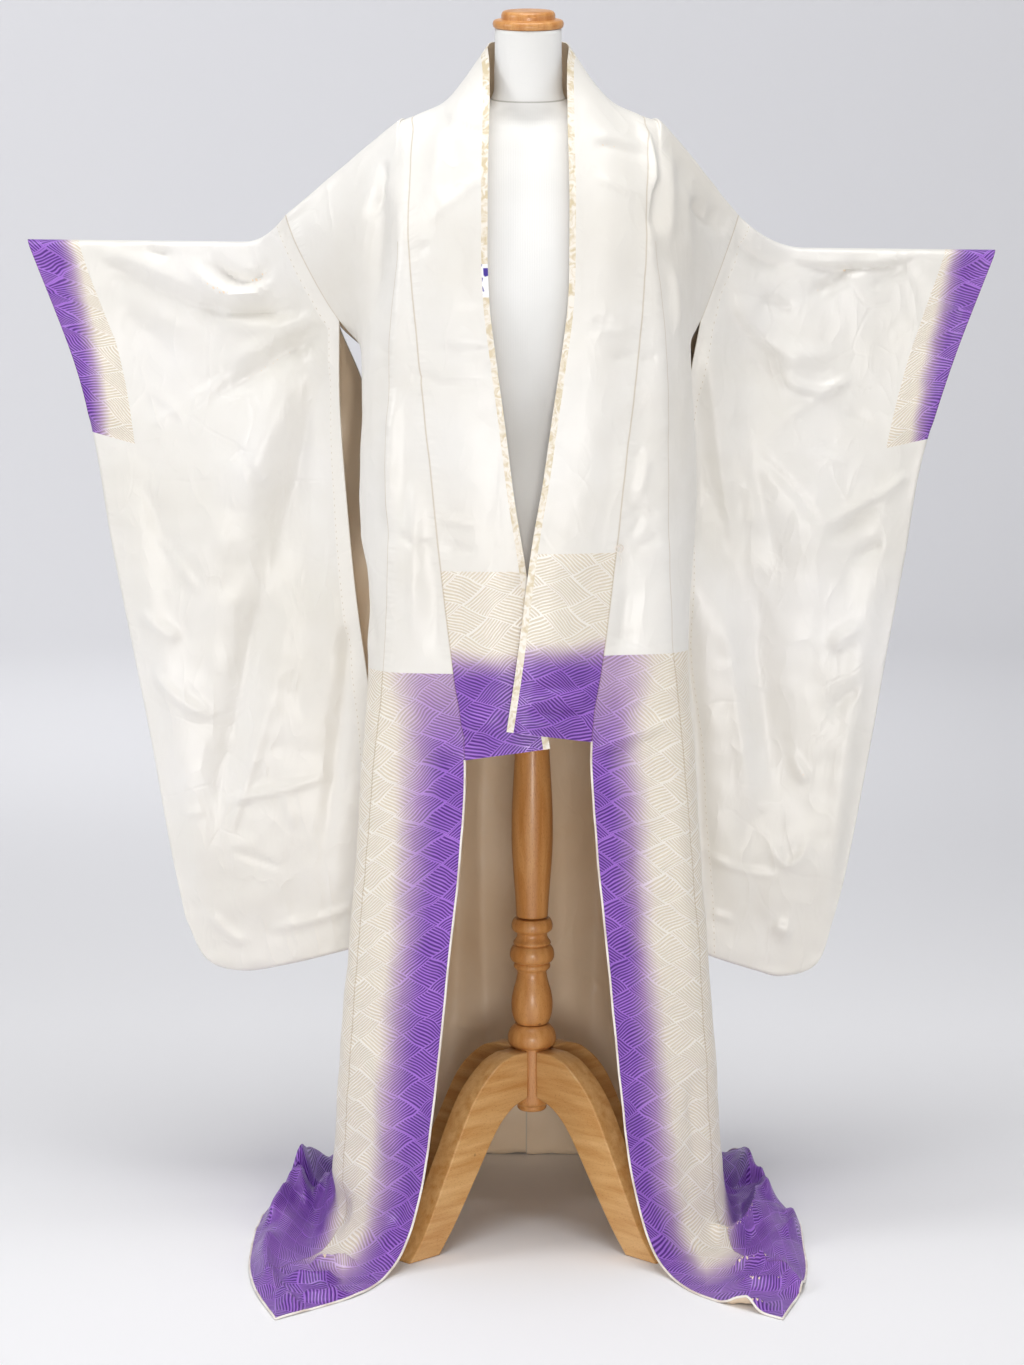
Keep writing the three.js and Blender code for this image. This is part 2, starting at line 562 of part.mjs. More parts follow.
// Thickens one piece's faces into a closed wall, drawn in by half a seam gap at its seams.
function wallOf(piece, freeEdges, normals) {
  const faces = cloth.faces.filter((face) => face.piece === piece);
  const pull = seamPull(faces, freeEdges, normals);
  const local = new Map();
  const positions = [];
  for (const id of new Set(faces.flatMap((face) => face.ids))) {
    const point = cloth.points[id].clone().add(pull.get(id) ?? new THREE.Vector3());
    local.set(id, local.size * 2);
    for (const side of [1, -1]) {
      const skin = point.clone().addScaledVector(normals[id], (side * WALL) / 2);
      positions.push(skin.x, skin.y, Math.max(skin.z, 0));
    }
  }
  const indices = [];
  for (const face of faces) {
    const [a, b, c] = face.ids.map((id) => local.get(id));
    indices.push(a, b, c, a + 1, c + 1, b + 1);
  }
  for (const ends of borderEdges(faces).values()) {
    const [from, to] = ends.map((id) => local.get(id));
    // Both walls of a seam split their twisted edge faces along the same diagonal.
    if (ends[0] < ends[1]) {
      indices.push(to, from, from + 1, to, from + 1, to + 1);
    } else {
      indices.push(to, from, to + 1, from, from + 1, to + 1);
    }
  }
  return closedGeometry(positions, indices);
}

// Evenly spaced values from one number to another, with a step per whole number of cells.
function steps(from, to, perUnit) {
  const count = Math.round((to - from) * perUnit);
  return Array.from({ length: count + 1 }, (_, index) => from + ((to - from) * index) / count);
}

function bodyPiece(sideName) {
  return (column, row) => {
    if (row > 0) {
      const strip = column < 1 && row > OKUMI_ROW ? "okumi" : "front";
      return `${strip}_${row < HAKKAKE_ROW ? "lining" : "hakkake"}_${sideName}`;
    }
    return `back_${row > -HAKKAKE_ROW ? "lining" : "hakkake"}_${sideName}`;
  };
}

function collarPiece(sideName) {
  return (across, row) => {
    if (across < FACE_STRIP) {
      return `collar_face_${sideName}`;
    }
    if (row > COLLAR_SEAM_ROW) {
      return `collar_end_${sideName}`;
    }
    return row < 0 ? "collar_lining_back" : `collar_lining_${sideName}`;
  };
}

// Where the grids are cut into cells: across the body and collar, then down and across a sleeve.
const BODY_ACROSS = steps(0, 3, 3);
const COLLAR_ACROSS = [0, FACE_STRIP, 0.36, 0.68, 1];
const ROUND_DOWN = [0, 0.0015, 0.0055, 0.011];
const ROUND_UP = [0.9945, 0.99725, 0.99926, 1];
const SEAM_DOWN = [0.035, 0.07, 0.105, SEAM_SHARE];
const FREE_DOWN = [0.21, CUFF_SHARE, 0.37, 0.46, 0.56, 0.66, 0.76, 0.86, 0.94];
const SLEEVE_DOWN = [...ROUND_DOWN, ...SEAM_DOWN, ...FREE_DOWN, ...ROUND_UP];
const SLEEVE_ACROSS = [0, 0.14, 0.28, 0.42, 0.56, 0.7, CUFF_WIDTH, 0.91, 0.984, 0.992, 0.998, 1];

function addSide(sideName) {
  const flip = sideName === "left";
  const last = FRONT_ROWS.length - 1;
  const rows = steps(-last, last, 1);
  const onBody = (column, row) => bodyPoint(sideName, column, row);
  addGrid(BODY_ACROSS, rows, onBody, bodyPiece(sideName), flip);
  const collarRows = rows.filter((row) => row >= -NAPE_ROW && row <= COLLAR_END_ROW);
  const onCollar = (across, row) => collarPoint(sideName, across, row);
  addGrid(COLLAR_ACROSS, collarRows, onCollar, collarPiece(sideName), flip);
  const surface = sleeveSurface(sideName);
  for (const layer of ["front", "back"]) {
    const pieceAt = (across, down) => {
      const cuff = across > CUFF_WIDTH && down < CUFF_SHARE;
      return `${cuff ? "cuff_facing" : "sleeve"}_${layer}_${sideName}`;
    };
    const pointAt = (across, down) => surface(layer, across, down);
    addGrid(SLEEVE_ACROSS, SLEEVE_DOWN, pointAt, pieceAt, (layer === "back") !== flip);
  }
}

// ---- the form and stand -------------------------------------------------------------------

function formTorso() {
  const positions = [];
  const indices = [];
  for (const section of FORM_SECTIONS) {
    const middle = (section.front + section.back) / 2;
    const depth = (section.back - section.front) / 2;
    const power = 2 / FORM_SQUARENESS;
    for (let i = 0; i < FORM_SIDES; i += 1) {
      const angle = (2 * Math.PI * i) / FORM_SIDES;
      const [across, along] = [Math.cos(angle), Math.sin(angle)];
      const x = section.half * Math.sign(across) * Math.abs(across) ** power;
      const y = depth * Math.sign(along) * Math.abs(along) ** power;
      positions.push(LEAN + x, middle + y, section.z + y * Math.tan(THREE.MathUtils.degToRad(section.tip)));
    }
  }
  for (let j = 0; j + 1 < FORM_SECTIONS.length; j += 1) {
    for (let i = 0; i < FORM_SIDES; i += 1) {
      const next = (i + 1) % FORM_SIDES;
      const [a, b] = [j * FORM_SIDES + i, j * FORM_SIDES + next];
      const [c, d] = [a + FORM_SIDES, b + FORM_SIDES];
      indices.push(a, b, d, a, d, c);
    }
  }
  const top = (FORM_SECTIONS.length - 1) * FORM_SIDES;
  for (let i = 1; i + 1 < FORM_SIDES; i += 1) {
    indices.push(0, i + 1, i, top, top + i, top + i + 1);
  }
  return closedGeometry(positions, indices);
}

function turned(profile) {
  const points = profile.map(([radius, height]) => new THREE.Vector2(radius, height));
  const geometry = new THREE.LatheGeometry(points, TURNING_SIDES);
  geometry.deleteAttribute("normal");
  geometry.deleteAttribute("uv");
  geometry.rotateX(Math.PI / 2);
  return mergeVertices(geometry, 1e-3);
}

function neckCap() {
  const topSection = FORM_SECTIONS.at(-1);
  const cap = named("neck_cap", turned(CAP_PROFILE), BEECH);
  const middle = (topSection.front + topSection.back) / 2;
  cap.rotation.x = CAP_TIP;
  cap.position.set(LEAN, middle, topSection.z + SEAM_GAP);
  return cap;
}

// One curved leg, sawn from a board, let into the hub at its turning's flat.
function standLeg(name, angle) {
  const shape = new THREE.Shape();
  shape.moveTo(...LEG_TOP[0]);
  shape.lineTo(...LEG_TOP[1]);
  shape.splineThru(LEG_TOP.slice(2).map(([reach, height]) => new THREE.Vector2(reach, height)));
  shape.lineTo(...LEG_UNDER[0]);
  shape.splineThru(LEG_UNDER.slice(1).map(([reach, height]) => new THREE.Vector2(reach, height)));
  shape.closePath();
  const board = { depth: LEG_THICKNESS, bevelEnabled: false, curveSegments: LEG_CURVE_STEPS };
  const geometry = new THREE.ExtrudeGeometry(shape, board);
  geometry.translate(0, 0, -LEG_THICKNESS / 2);
  geometry.rotateX(Math.PI / 2);
  const leg = named(name, geometry, BEECH);
  leg.rotation.z = angle;
  return leg;
}

function sleeveRod() {
  const [start, end] = ROD_ENDS;
  const length = (end - start) * Math.hypot(1, ROD_SLOPE);
  const dowel = new THREE.CylinderGeometry(ROD_RADIUS, ROD_RADIUS, length, TURNING_SIDES);
  const rod = named("sleeve_rod", dowel, BEECH);
  const middle = (start + end) / 2;
  const along = new THREE.Vector3(1, 0, ROD_SLOPE).normalize();
  rod.quaternion.setFromUnitVectors(new THREE.Vector3(0, 1, 0), along);
  rod.position.set(middle, ROD_Y, rodTop(middle) - ROD_FOLD);
  return rod;
}

// ---- assembly -----------------------------------------------------------------------------

function clothFinish(piece) {
  if (/hakkake|collar_end/.test(piece)) {
    return PURPLE;
  }
  return /cuff|collar_face/.test(piece) ? DAMASK : SILK;
}

const assembly = new THREE.Group();
addSide("right");
addSide("left");
const normals = clothNormals();
const freeEdges = borderEdges(cloth.faces);
for (const piece of new Set(cloth.faces.map((face) => face.piece))) {
  assembly.add(named(piece, wallOf(piece, freeEdges, normals), clothFinish(piece)));
}
assembly.add(named("form_torso", formTorso(), JERSEY));
assembly.add(neckCap());
assembly.add(named("pole_upper", turned(UPPER_POLE_PROFILE), BEECH));
assembly.add(named("pole_lower", turned(LOWER_POLE_PROFILE), BEECH));
assembly.add(named("hub", turned(HUB_PROFILE), BEECH));
[45, 135, 225, 315].forEach((degrees, index) => {
  assembly.add(standLeg(`leg_${index + 1}`, THREE.MathUtils.degToRad(degrees)));
});
assembly.add(sleeveRod());

// The part's origin is under the middle of its box, on the floor.
assembly.updateMatrixWorld(true);
const middle = new THREE.Box3().setFromObject(assembly).getCenter(new THREE.Vector3());
assembly.position.set(-middle.x, -middle.y, 0);
const part = new THREE.Group();
part.add(assembly);

export default part;
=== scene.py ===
import math
from collections import namedtuple

import bmesh
import bpy
import numpy as np
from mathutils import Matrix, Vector, noise


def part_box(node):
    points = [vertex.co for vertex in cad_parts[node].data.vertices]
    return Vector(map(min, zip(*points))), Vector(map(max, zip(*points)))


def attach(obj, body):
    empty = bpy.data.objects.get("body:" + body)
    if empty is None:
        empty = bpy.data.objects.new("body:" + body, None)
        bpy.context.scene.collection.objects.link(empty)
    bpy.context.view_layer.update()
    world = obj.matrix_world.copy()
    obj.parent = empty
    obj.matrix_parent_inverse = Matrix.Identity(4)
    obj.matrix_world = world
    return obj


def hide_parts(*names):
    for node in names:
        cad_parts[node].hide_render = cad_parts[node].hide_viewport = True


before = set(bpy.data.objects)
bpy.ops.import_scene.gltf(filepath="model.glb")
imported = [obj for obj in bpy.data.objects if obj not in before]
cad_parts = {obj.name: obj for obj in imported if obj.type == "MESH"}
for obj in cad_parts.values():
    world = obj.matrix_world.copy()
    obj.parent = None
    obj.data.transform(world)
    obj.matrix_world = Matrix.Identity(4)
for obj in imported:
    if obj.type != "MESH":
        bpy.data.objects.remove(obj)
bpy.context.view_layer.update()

MM = 0.001

# The camera stands four and a half metres in front of the dress, at chest height, and looks
# a little down. A long lens keeps the cuffs and the hem free of perspective stretch.
camera = bpy.data.objects.new("camera", bpy.data.cameras.new("camera"))
bpy.context.collection.objects.link(camera)
bpy.context.scene.camera = camera
CAMERA_PLACE = (0.0005, -4.5033, 1.40)
CAMERA_PITCH = 8.3
camera.location = CAMERA_PLACE
camera.rotation_euler = (math.radians(90 - CAMERA_PITCH), 0, 0)
camera.data.lens = 90
camera.data.sensor_fit = "VERTICAL"
camera.data.sensor_height = 36
camera.data.clip_end = 50


# The studio: a round cove of pale grey paper that runs from the floor up all round the dress, lit
# by large soft boxes, so that the cloth shows its folds in low contrast and the floor hardly any.
def linear(colour, alpha=1.0):
    """An sRGB hex colour as the linear values that Blender works in."""
    parts = [int(colour[k:k + 2], 16) / 255 for k in (1, 3, 5)]
    light = [p / 12.92 if p <= 0.04045 else ((p + 0.055) / 1.055) ** 2.4 for p in parts]
    return (*light, alpha)


def node(tree, kind, settings=None, **links):
    """Adds a node, sets its settings and inputs, and links the inputs given as nodes or sockets."""
    made = tree.nodes.new(kind)
    for name, value in (settings or {}).items():
        if name == "color_ramp":
            for element, (position, colour) in zip(made.color_ramp.elements, value):
                element.position = position
                element.color = linear(colour)
        else:
            setattr(made, name, value)
    for name, value in links.items():
        numbered = name[0] == "i" and name[1:].isdigit()
        slot = made.inputs[int(name[1:]) if numbered else name.replace("_", " ")]
        if isinstance(value, bpy.types.Node):
            value = value.outputs[0]
        if isinstance(value, bpy.types.NodeSocket):
            tree.links.new(value, slot)
        else:
            slot.default_value = value
    return made


def material(name):
    """A new material, its node tree and its shader."""
    made = bpy.data.materials.new(name)
    made.use_nodes = True
    return made, made.node_tree, made.node_tree.nodes["Principled BSDF"]


def mesh_object(name, vertices, faces, materials=(), smooth=True):
    mesh = bpy.data.meshes.new(name)
    mesh.from_pydata([tuple(v) for v in vertices], [], [tuple(f) for f in faces])
    mesh.update()
    made = bpy.data.objects.new(name, mesh)
    bpy.context.collection.objects.link(made)
    for m in materials:
        mesh.materials.append(m)
    mesh.polygons.foreach_set("use_smooth", [smooth] * len(mesh.polygons))
    return made


MOTTLE_SIZE = 1.43
paper, tree, shader = material("matt_cove_paper")
mottle = node(tree, "ShaderNodeTexNoise", Scale=1 / MOTTLE_SIZE, Detail=2.0)
tone = node(tree, "ShaderNodeValToRGB", {"color_ramp": [(0.3, "#DADADD"), (0.7, "#E2E2E5")]}, Fac=mottle)
place = node(tree, "ShaderNodeTexCoord").outputs["Object"]
behind = node(tree, "ShaderNodeSeparateXYZ", Vector=place).outputs[1]
# Painted light: the paper is coloured paler near and in front of the dress, for the light from above that
# falls strongest on the floor there, and greyer farther back toward the wall.
shade_toward_wall = node(tree, "ShaderNodeMapRange", {"interpolation_type": "SMOOTHSTEP"}, i0=behind, i1=0.2, i2=3.0)
painted_floor_light = node(tree, "ShaderNodeMix", {"data_type": "RGBA"}, i0=shade_toward_wall, i6=linear("#F6F6F8"), i7=tone)
tree.links.new(painted_floor_light.outputs[2], shader.inputs["Base Color"])
shader.inputs["Roughness"].default_value = 0.95
shader.inputs["Specular IOR Level"].default_value = 0.1

COVE_RADIUS = 8.5
COVE_CURVE = 2.5
COVE_TOP = 6.0
COVE_SIDES = 96
COVE_STEPS = 24
PAPER_SINK = 0.0004
profile = []
for k in range(COVE_STEPS + 1):
    turn = math.pi / 2 * k / COVE_STEPS
    reach = COVE_RADIUS - COVE_CURVE + COVE_CURVE * math.sin(turn)
    profile.append((reach, COVE_CURVE * (1 - math.cos(turn))))
profile.append((COVE_RADIUS, COVE_TOP))
points = [(0, 0, -PAPER_SINK)]
strips = []
for j, (reach, height) in enumerate(profile):
    for k in range(COVE_SIDES):
        turn = 2 * math.pi * k / COVE_SIDES
        points.append((reach * math.cos(turn), reach * math.sin(turn), height - PAPER_SINK))
        ring = 1 + j * COVE_SIDES
        after = (k + 1) % COVE_SIDES
        if j == 0:
            strips.append((0, 1 + k, 1 + after))
        else:
            strips.append((ring + k, ring + after, ring + after - COVE_SIDES, ring + k - COVE_SIDES))
cove = mesh_object("paper_cove", points, strips, [paper])

SoftBox = namedtuple("SoftBox", "name place aim size power colour")
SOFT_BOXES = [
    SoftBox("key_left", (-3.7, -1.5, 2.4), (0, 0, 0.9), 1.2, 41, "#FFFFFF"),
    SoftBox("fill_right", (3.6, -2.6, 2.2), (0, 0, 0.8), 2.2, 16, "#FFFDFA"),
    SoftBox("overhead", (0.0, -0.8, 4.4), (0, -0.8, 0), 2.6, 102, "#FFFFFF"),
    SoftBox("front", (0.2, -4.7, 0.6), (0, 0, 0.7), 0.9, 56, "#FFFBF6"),
    SoftBox("backdrop", (-1.2, 3.4, 4.2), (-0.4, 8.0, 1.0), 2.4, 160, "#FFFFFF"),
]
for box in SOFT_BOXES:
    lamp = bpy.data.objects.new(box.name, bpy.data.lights.new(box.name, "AREA"))
    bpy.context.collection.objects.link(lamp)
    lamp.location = box.place
    lamp.rotation_euler = (Vector(box.aim) - Vector(box.place)).to_track_quat("-Z", "Y").to_euler()
    lamp.data.size = box.size
    lamp.data.energy = box.power
    lamp.data.color = linear(box.colour)[:3]
    lamp.visible_camera = False
room = bpy.data.worlds.new("studio")
bpy.context.scene.world = room
room.use_nodes = True
room.node_tree.nodes["Background"].inputs["Color"].default_value = linear("#F6F7FA")
room.node_tree.nodes["Background"].inputs["Strength"].default_value = 0.27
bpy.context.scene.view_settings.view_transform = "Standard"

# The stand: poles and hub turned from beech, four legs sawn from board and let into the hub,
# all sanded and clear lacquered. The lacquer gives a soft sharp glint over a fine short grain.
hub_low, hub_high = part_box("hub")
POLE = Vector(((hub_low[0] + hub_high[0]) / 2, (hub_low[1] + hub_high[1]) / 2, 0))
GRAIN_LENGTH = 0.12
RING_WIDTH = 0.012
RAY_FLECK = 0.0035
RAY_WIDTH = 0.0012
KNOT_SPACING = 0.07


def beech(name, grain_axis, dark, light):
    """Lacquered beech with its grain along x, y or z of the piece's own space."""
    made, tree, shader = material(name)
    place = node(tree, "ShaderNodeTexCoord").outputs["Object"]
    squeeze = [1 / RING_WIDTH] * 3
    squeeze[grain_axis] = 1 / GRAIN_LENGTH
    grained = node(tree, "ShaderNodeMapping", Vector=place, Scale=tuple(squeeze))
    rings = node(tree, "ShaderNodeTexNoise", Vector=grained,
                 Scale=1.0, Detail=5.0, Roughness=0.6, Distortion=0.3)
    tone = node(tree, "ShaderNodeValToRGB", {"color_ramp": [(0.3, dark), (0.72, light)]}, Fac=rings)
    flecks = [1 / RAY_WIDTH] * 3
    flecks[grain_axis] = 1 / RAY_FLECK
    fine = node(tree, "ShaderNodeMapping", Vector=place, Scale=tuple(flecks))
    fleck = node(tree, "ShaderNodeTexNoise", Vector=fine, Scale=1.0, Detail=2.0)
    speck = node(tree, "ShaderNodeValToRGB", {"color_ramp": [(0.28, "#B98247"), (0.45, "#FFFFFF")]},
                 Fac=fleck)
    wood = node(tree, "ShaderNodeMix", {"data_type": "RGBA", "blend_type": "MULTIPLY"},
                i0=0.35, i6=tone, i7=speck)
    knots = node(tree, "ShaderNodeTexVoronoi", Vector=place, Scale=1 / KNOT_SPACING)
    mark = node(tree, "ShaderNodeValToRGB", {"color_ramp": [(0.025, "#6B4423"), (0.05, "#FFFFFF")]},
                Fac=knots)
    marked = node(tree, "ShaderNodeMix", {"data_type": "RGBA", "blend_type": "MULTIPLY"},
                  i0=0.6, i6=wood.outputs[2], i7=mark)
    tree.links.new(marked.outputs[2], shader.inputs["Base Color"])
    relief = node(tree, "ShaderNodeBump", Strength=0.12, Distance=0.0004, Height=fleck)
    tree.links.new(relief.outputs[0], shader.inputs["Normal"])
    shader.inputs["Roughness"].default_value = 0.42
    shader.inputs["Coat Weight"].default_value = 0.35
    shader.inputs["Coat Roughness"].default_value = 0.22
    return made


beech_upright = beech("beech_turned_lacquered", 2, "#C07D3A", "#DDA463")
beech_board = beech("beech_board_lacquered", 0, "#C68F4E", "#E2B77C")
TURNING_SIDES = 72


def eased(points, rounds=2):
    """Cuts the corners of an outline, as sandpaper does. A point written twice stays sharp."""
    line = np.array(points, float)
    for _ in range(rounds):
        ahead = line[:-1] * 0.75 + line[1:] * 0.25
        behind = line[:-1] * 0.25 + line[1:] * 0.75
        line = np.concatenate([line[:1], np.stack([ahead, behind], 1).reshape(-1, 2), line[-1:]])
    return line


def turned(name, profile, node_name, material_used, tip=0.0, base=(0, 0, 0)):
    """A turned piece about the vertical: profile is radius and height in millimetres."""
    line = eased(profile)
    keep = [0] + [k for k in range(1, len(line)) if np.linalg.norm(line[k] - line[k - 1]) > 0.05]
    line = line[keep]
    inner = line[1:-1]
    vertices = [(0, 0, line[0][1] * MM), (0, 0, line[-1][1] * MM)]
    for radius, height in inner:
        for k in range(TURNING_SIDES):
            turn = 2 * math.pi * k / TURNING_SIDES
            vertices.append((radius * MM * math.cos(turn), radius * MM * math.sin(turn), height * MM))
    faces = []
    last = 2 + (len(inner) - 1) * TURNING_SIDES
    for k in range(TURNING_SIDES):
        after = (k + 1) % TURNING_SIDES
        faces.append((0, 2 + after, 2 + k))
        faces.append((1, last + k, last + after))
        for j in range(len(inner) - 1):
            ring = 2 + j * TURNING_SIDES
            faces.append((ring + k, ring + after, ring + TURNING_SIDES + after, ring + TURNING_SIDES + k))
    cos, sin = math.cos(tip), math.sin(tip)
    placed = [(x + base[0], y * cos - z * sin + base[1], y * sin + z * cos + base[2]) for x, y, z in vertices]
    made = mesh_object(name, placed, faces, [material_used])
    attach(made, "root")
    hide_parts(node_name)
    return made


HUB_RADIUS = 24.5
HUB_PROFILE = [
    (0, 158), (14, 158), (18, 159), (20, 162), (20, 166), (23, 168), (HUB_RADIUS, 171), (HUB_RADIUS, 200),
    (HUB_RADIUS, 240), (HUB_RADIUS, 246), (26, 247), (31, 250), (33, 257), (32.5, 264), (29, 272), (24, 277),
    (21.5, 278), (0, 278),
]
LOWER_POLE_PROFILE = [
    (0, 278.3), (20.8, 278.3), (21.5, 280), (23.5, 281.5), (26.5, 290), (28, 300), (28, 310), (26, 323),
    (21.5, 338), (19.5, 348), (20, 352), (24, 355), (25, 358), (24, 361.5), (22.6, 362.5), (22.6, 363.3),
    (27, 364.5), (30, 370), (30, 377), (28, 383), (25, 386.4), (23, 387), (23, 387.6), (25.5, 389), (25, 392),
    (21.5, 396), (20, 401), (21, 404), (26.5, 407), (28, 412), (27.5, 417), (25.5, 422), (24, 424), (0, 424),
]
UPPER_POLE_PROFILE = [
    (0, 424.3), (21, 424.3), (21.5, 430), (22.2, 445), (24.5, 475), (27.4, 515), (28, 545), (27.2, 580),
    (25, 620), (23, 650), (21.6, 690), (21, 720), (21, 771.6), (0, 771.6),
]
base = (POLE.x, POLE.y, 0)
turned("stand_hub", HUB_PROFILE, "hub", beech_upright, base=base)
turned("stand_pole_lower", LOWER_POLE_PROFILE, "pole_lower", beech_upright, base=base)
turned("stand_pole_upper", UPPER_POLE_PROFILE, "pole_upper", beech_upright, base=base)

LEG_THICKNESS = 34
LEG_BEVEL = 2.2
LEG_SEAT = HUB_RADIUS + 0.3
LEG_TOP = [(LEG_SEAT, 245.5), (52, 245.5), (84, 234), (127, 194), (171, 117), (214, 38), (244, 0)]
LEG_UNDER = [(190, 0), (162, 34), (127, 84), (84, 146), (54, 172), (LEG_SEAT, 182)]


def spline_part(padded, where, cells):
    """A uniform Catmull-Rom spline through points padded by one at each end."""
    cell = np.clip(np.floor(where).astype(int), 0, cells - 1)
    part = (where - cell).reshape((-1,) + (1,) * (padded.ndim - 1))
    a, b, c, d = (padded[cell + k] for k in range(4))
    return b + 0.5 * part * (c - a + part * (2 * a - 5 * b + 4 * c - d + part * (3 * b - a - 3 * c + d)))


def catmull(points, where):
    """A spline through points, at places counted in points from the first."""
    padded = np.concatenate([2 * points[:1] - points[1:2], points, 2 * points[-1:] - points[-2:-1]])
    return spline_part(padded, where, len(points) - 1)


def leg(name, angle, node_name):
    top = np.array(LEG_TOP[1:], float)
    under = np.array(LEG_UNDER, float)
    outline = [LEG_TOP[0]]
    outline += [tuple(p) for p in catmull(top, np.linspace(0, len(top) - 1, 40))]
    outline += [tuple(p) for p in catmull(under, np.linspace(0, len(under) - 1, 36))]
    shape = bmesh.new()
    near_side = -LEG_THICKNESS / 2 * MM
    corners = [shape.verts.new((reach * MM, near_side, height * MM)) for reach, height in outline]
    board = shape.faces.new(corners)
    raised = bmesh.ops.extrude_face_region(shape, geom=[board])
    for vertex in [v for v in raised["geom"] if isinstance(v, bmesh.types.BMVert)]:
        vertex.co.y += LEG_THICKNESS * MM
    bmesh.ops.recalc_face_normals(shape, faces=shape.faces)
    rims = [e for e in shape.edges if len(e.link_faces) == 2 and any(len(f.verts) > 4 for f in e.link_faces)]
    bmesh.ops.bevel(shape, geom=rims, offset=LEG_BEVEL * MM, segments=3, profile=0.5, affect="EDGES")
    mesh = bpy.data.meshes.new(name)
    shape.to_mesh(mesh)
    shape.free()
    made = bpy.data.objects.new(name, mesh)
    bpy.context.collection.objects.link(made)
    made.location = (POLE.x, POLE.y, 0)
    made.rotation_euler = (0, 0, angle)
    mesh.materials.append(beech_board)
    for polygon in mesh.polygons:
        polygon.use_smooth = len(polygon.vertices) <= 4
    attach(made, "root")
    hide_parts(node_name)


for k in range(4):
    leg(f"stand_leg_{k + 1}", math.radians(45 + 90 * k), f"leg_{k + 1}")

# The form: a padded torso without limbs, pulled over with white cotton jersey, with the neck
# closed by a two-tiered turned cap. The knit gives a dull, even white with the finest of ribs.
RIB = 0.0022
PAD_SIZE = 0.143
NECK_SEAM = 1.512
NECK_TILT = -0.14
NECK_SEAM_WIDTH = 0.0016
jersey, tree, shader = material("white_cotton_jersey")
place = node(tree, "ShaderNodeTexCoord").outputs["Object"]
ribs = node(tree, "ShaderNodeTexWave", {"wave_type": "BANDS", "bands_direction": "X"},
            Vector=place, Scale=0.314 / RIB, Distortion=1.2, Detail=2.0)
pads = node(tree, "ShaderNodeTexNoise", Vector=place, Scale=1 / PAD_SIZE, Detail=2.0)
tint = node(tree, "ShaderNodeValToRGB", {"color_ramp": [(0.3, "#ECECE9"), (0.7, "#F5F5F3")]}, Fac=pads)
upward = node(tree, "ShaderNodeVectorMath", {"operation": "DOT_PRODUCT"}, i0=place, i1=(0, NECK_TILT, 1))
off_seam = node(tree, "ShaderNodeMath", {"operation": "SUBTRACT"}, i0=upward.outputs["Value"], i1=NECK_SEAM)
distance = node(tree, "ShaderNodeMath", {"operation": "ABSOLUTE"}, i0=off_seam)
seam = node(tree, "ShaderNodeMapRange", {"interpolation_type": "SMOOTHSTEP"}, i0=distance,
            i1=0.0, i2=NECK_SEAM_WIDTH)
seamed = node(tree, "ShaderNodeMix", {"data_type": "RGBA"}, i0=seam, i6=linear("#B9B7B0"), i7=tint)
tree.links.new(seamed.outputs[2], shader.inputs["Base Color"])
knit = node(tree, "ShaderNodeBump", Strength=0.15, Distance=0.0005, Height=ribs)
sunk = node(tree, "ShaderNodeBump", Strength=0.5, Distance=0.001, Height=seam, Normal=knit)
tree.links.new(sunk.outputs[0], shader.inputs["Normal"])
shader.inputs["Roughness"].default_value = 0.92
shader.inputs["Sheen Weight"].default_value = 0.15
shader.inputs["Sheen Roughness"].default_value = 0.6

LEAN = -6
FormSection = namedtuple("FormSection", "z half front back tip")
FORM_SECTIONS = [FormSection(*row) for row in [
    (772, 150, -88, 98, 0), (790, 160, -97, 108, 0), (860, 164, -101, 114, 0), (960, 146, -94, 98, 0),
    (1050, 126, -90, 86, 0), (1140, 136, -108, 90, 0), (1230, 150, -120, 99, 0), (1309, 160, -114, 110.5, 0),
    (1390, 168, -93, 104, 0), (1440, 176, -72, 92, 0), (1464, 173, -58, 72, 0), (1478, 152, -44, 46, 0),
    (1485, 118, -41, 40, 0), (1495, 78, -43, 42, 3), (1512, 48, -49, 46, 8), (1550, 44, -52, 38, 8),
    (1600, 43, -58, 29, 8),
]]
FORM_SIDES = 96
FORM_SQUARENESS = 2.3
rows = catmull(np.array(FORM_SECTIONS, float), np.linspace(0, len(FORM_SECTIONS) - 1, 161))
turns = np.linspace(0, 2 * math.pi, FORM_SIDES, endpoint=False)
power = 2 / FORM_SQUARENESS
across = np.sign(np.cos(turns)) * np.abs(np.cos(turns)) ** power
along = np.sign(np.sin(turns)) * np.abs(np.sin(turns)) ** power
vertices = []
for z, half, front, back, tip in rows:
    y = (back - front) / 2 * along
    ring = np.stack([LEAN + half * across, (front + back) / 2 + y, z + y * math.tan(math.radians(tip))], 1)
    vertices += [tuple((POLE + Vector(p) * MM)) for p in ring]
faces = [tuple(range(FORM_SIDES))[::-1], tuple(range(len(vertices) - FORM_SIDES, len(vertices)))]
for j in range(len(rows) - 1):
    for k in range(FORM_SIDES):
        after = (k + 1) % FORM_SIDES
        ring = j * FORM_SIDES
        faces.append((ring + k, ring + after, ring + FORM_SIDES + after, ring + FORM_SIDES + k))
torso = mesh_object("form_jersey", vertices, faces, [jersey])
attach(torso, "root")
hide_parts("form_torso")

CAP_PROFILE = [
    (0, 0), (42, 0), (42, 0), (45, 1), (46, 4), (46, 7), (44.5, 10), (41, 11), (35.2, 11.4), (35, 12.5),
    (35, 16), (34.5, 19), (32.5, 21.6), (28, 22.6), (12, 23), (0, 23),
]
neck = FORM_SECTIONS[-1]
cap_base = (POLE.x + LEAN * MM, POLE.y + (neck.front + neck.back) / 2 * MM, (neck.z + 0.3) * MM)
turned("form_neck_cap", CAP_PROFILE, "neck_cap", beech_upright, tip=math.radians(8), base=cap_base)

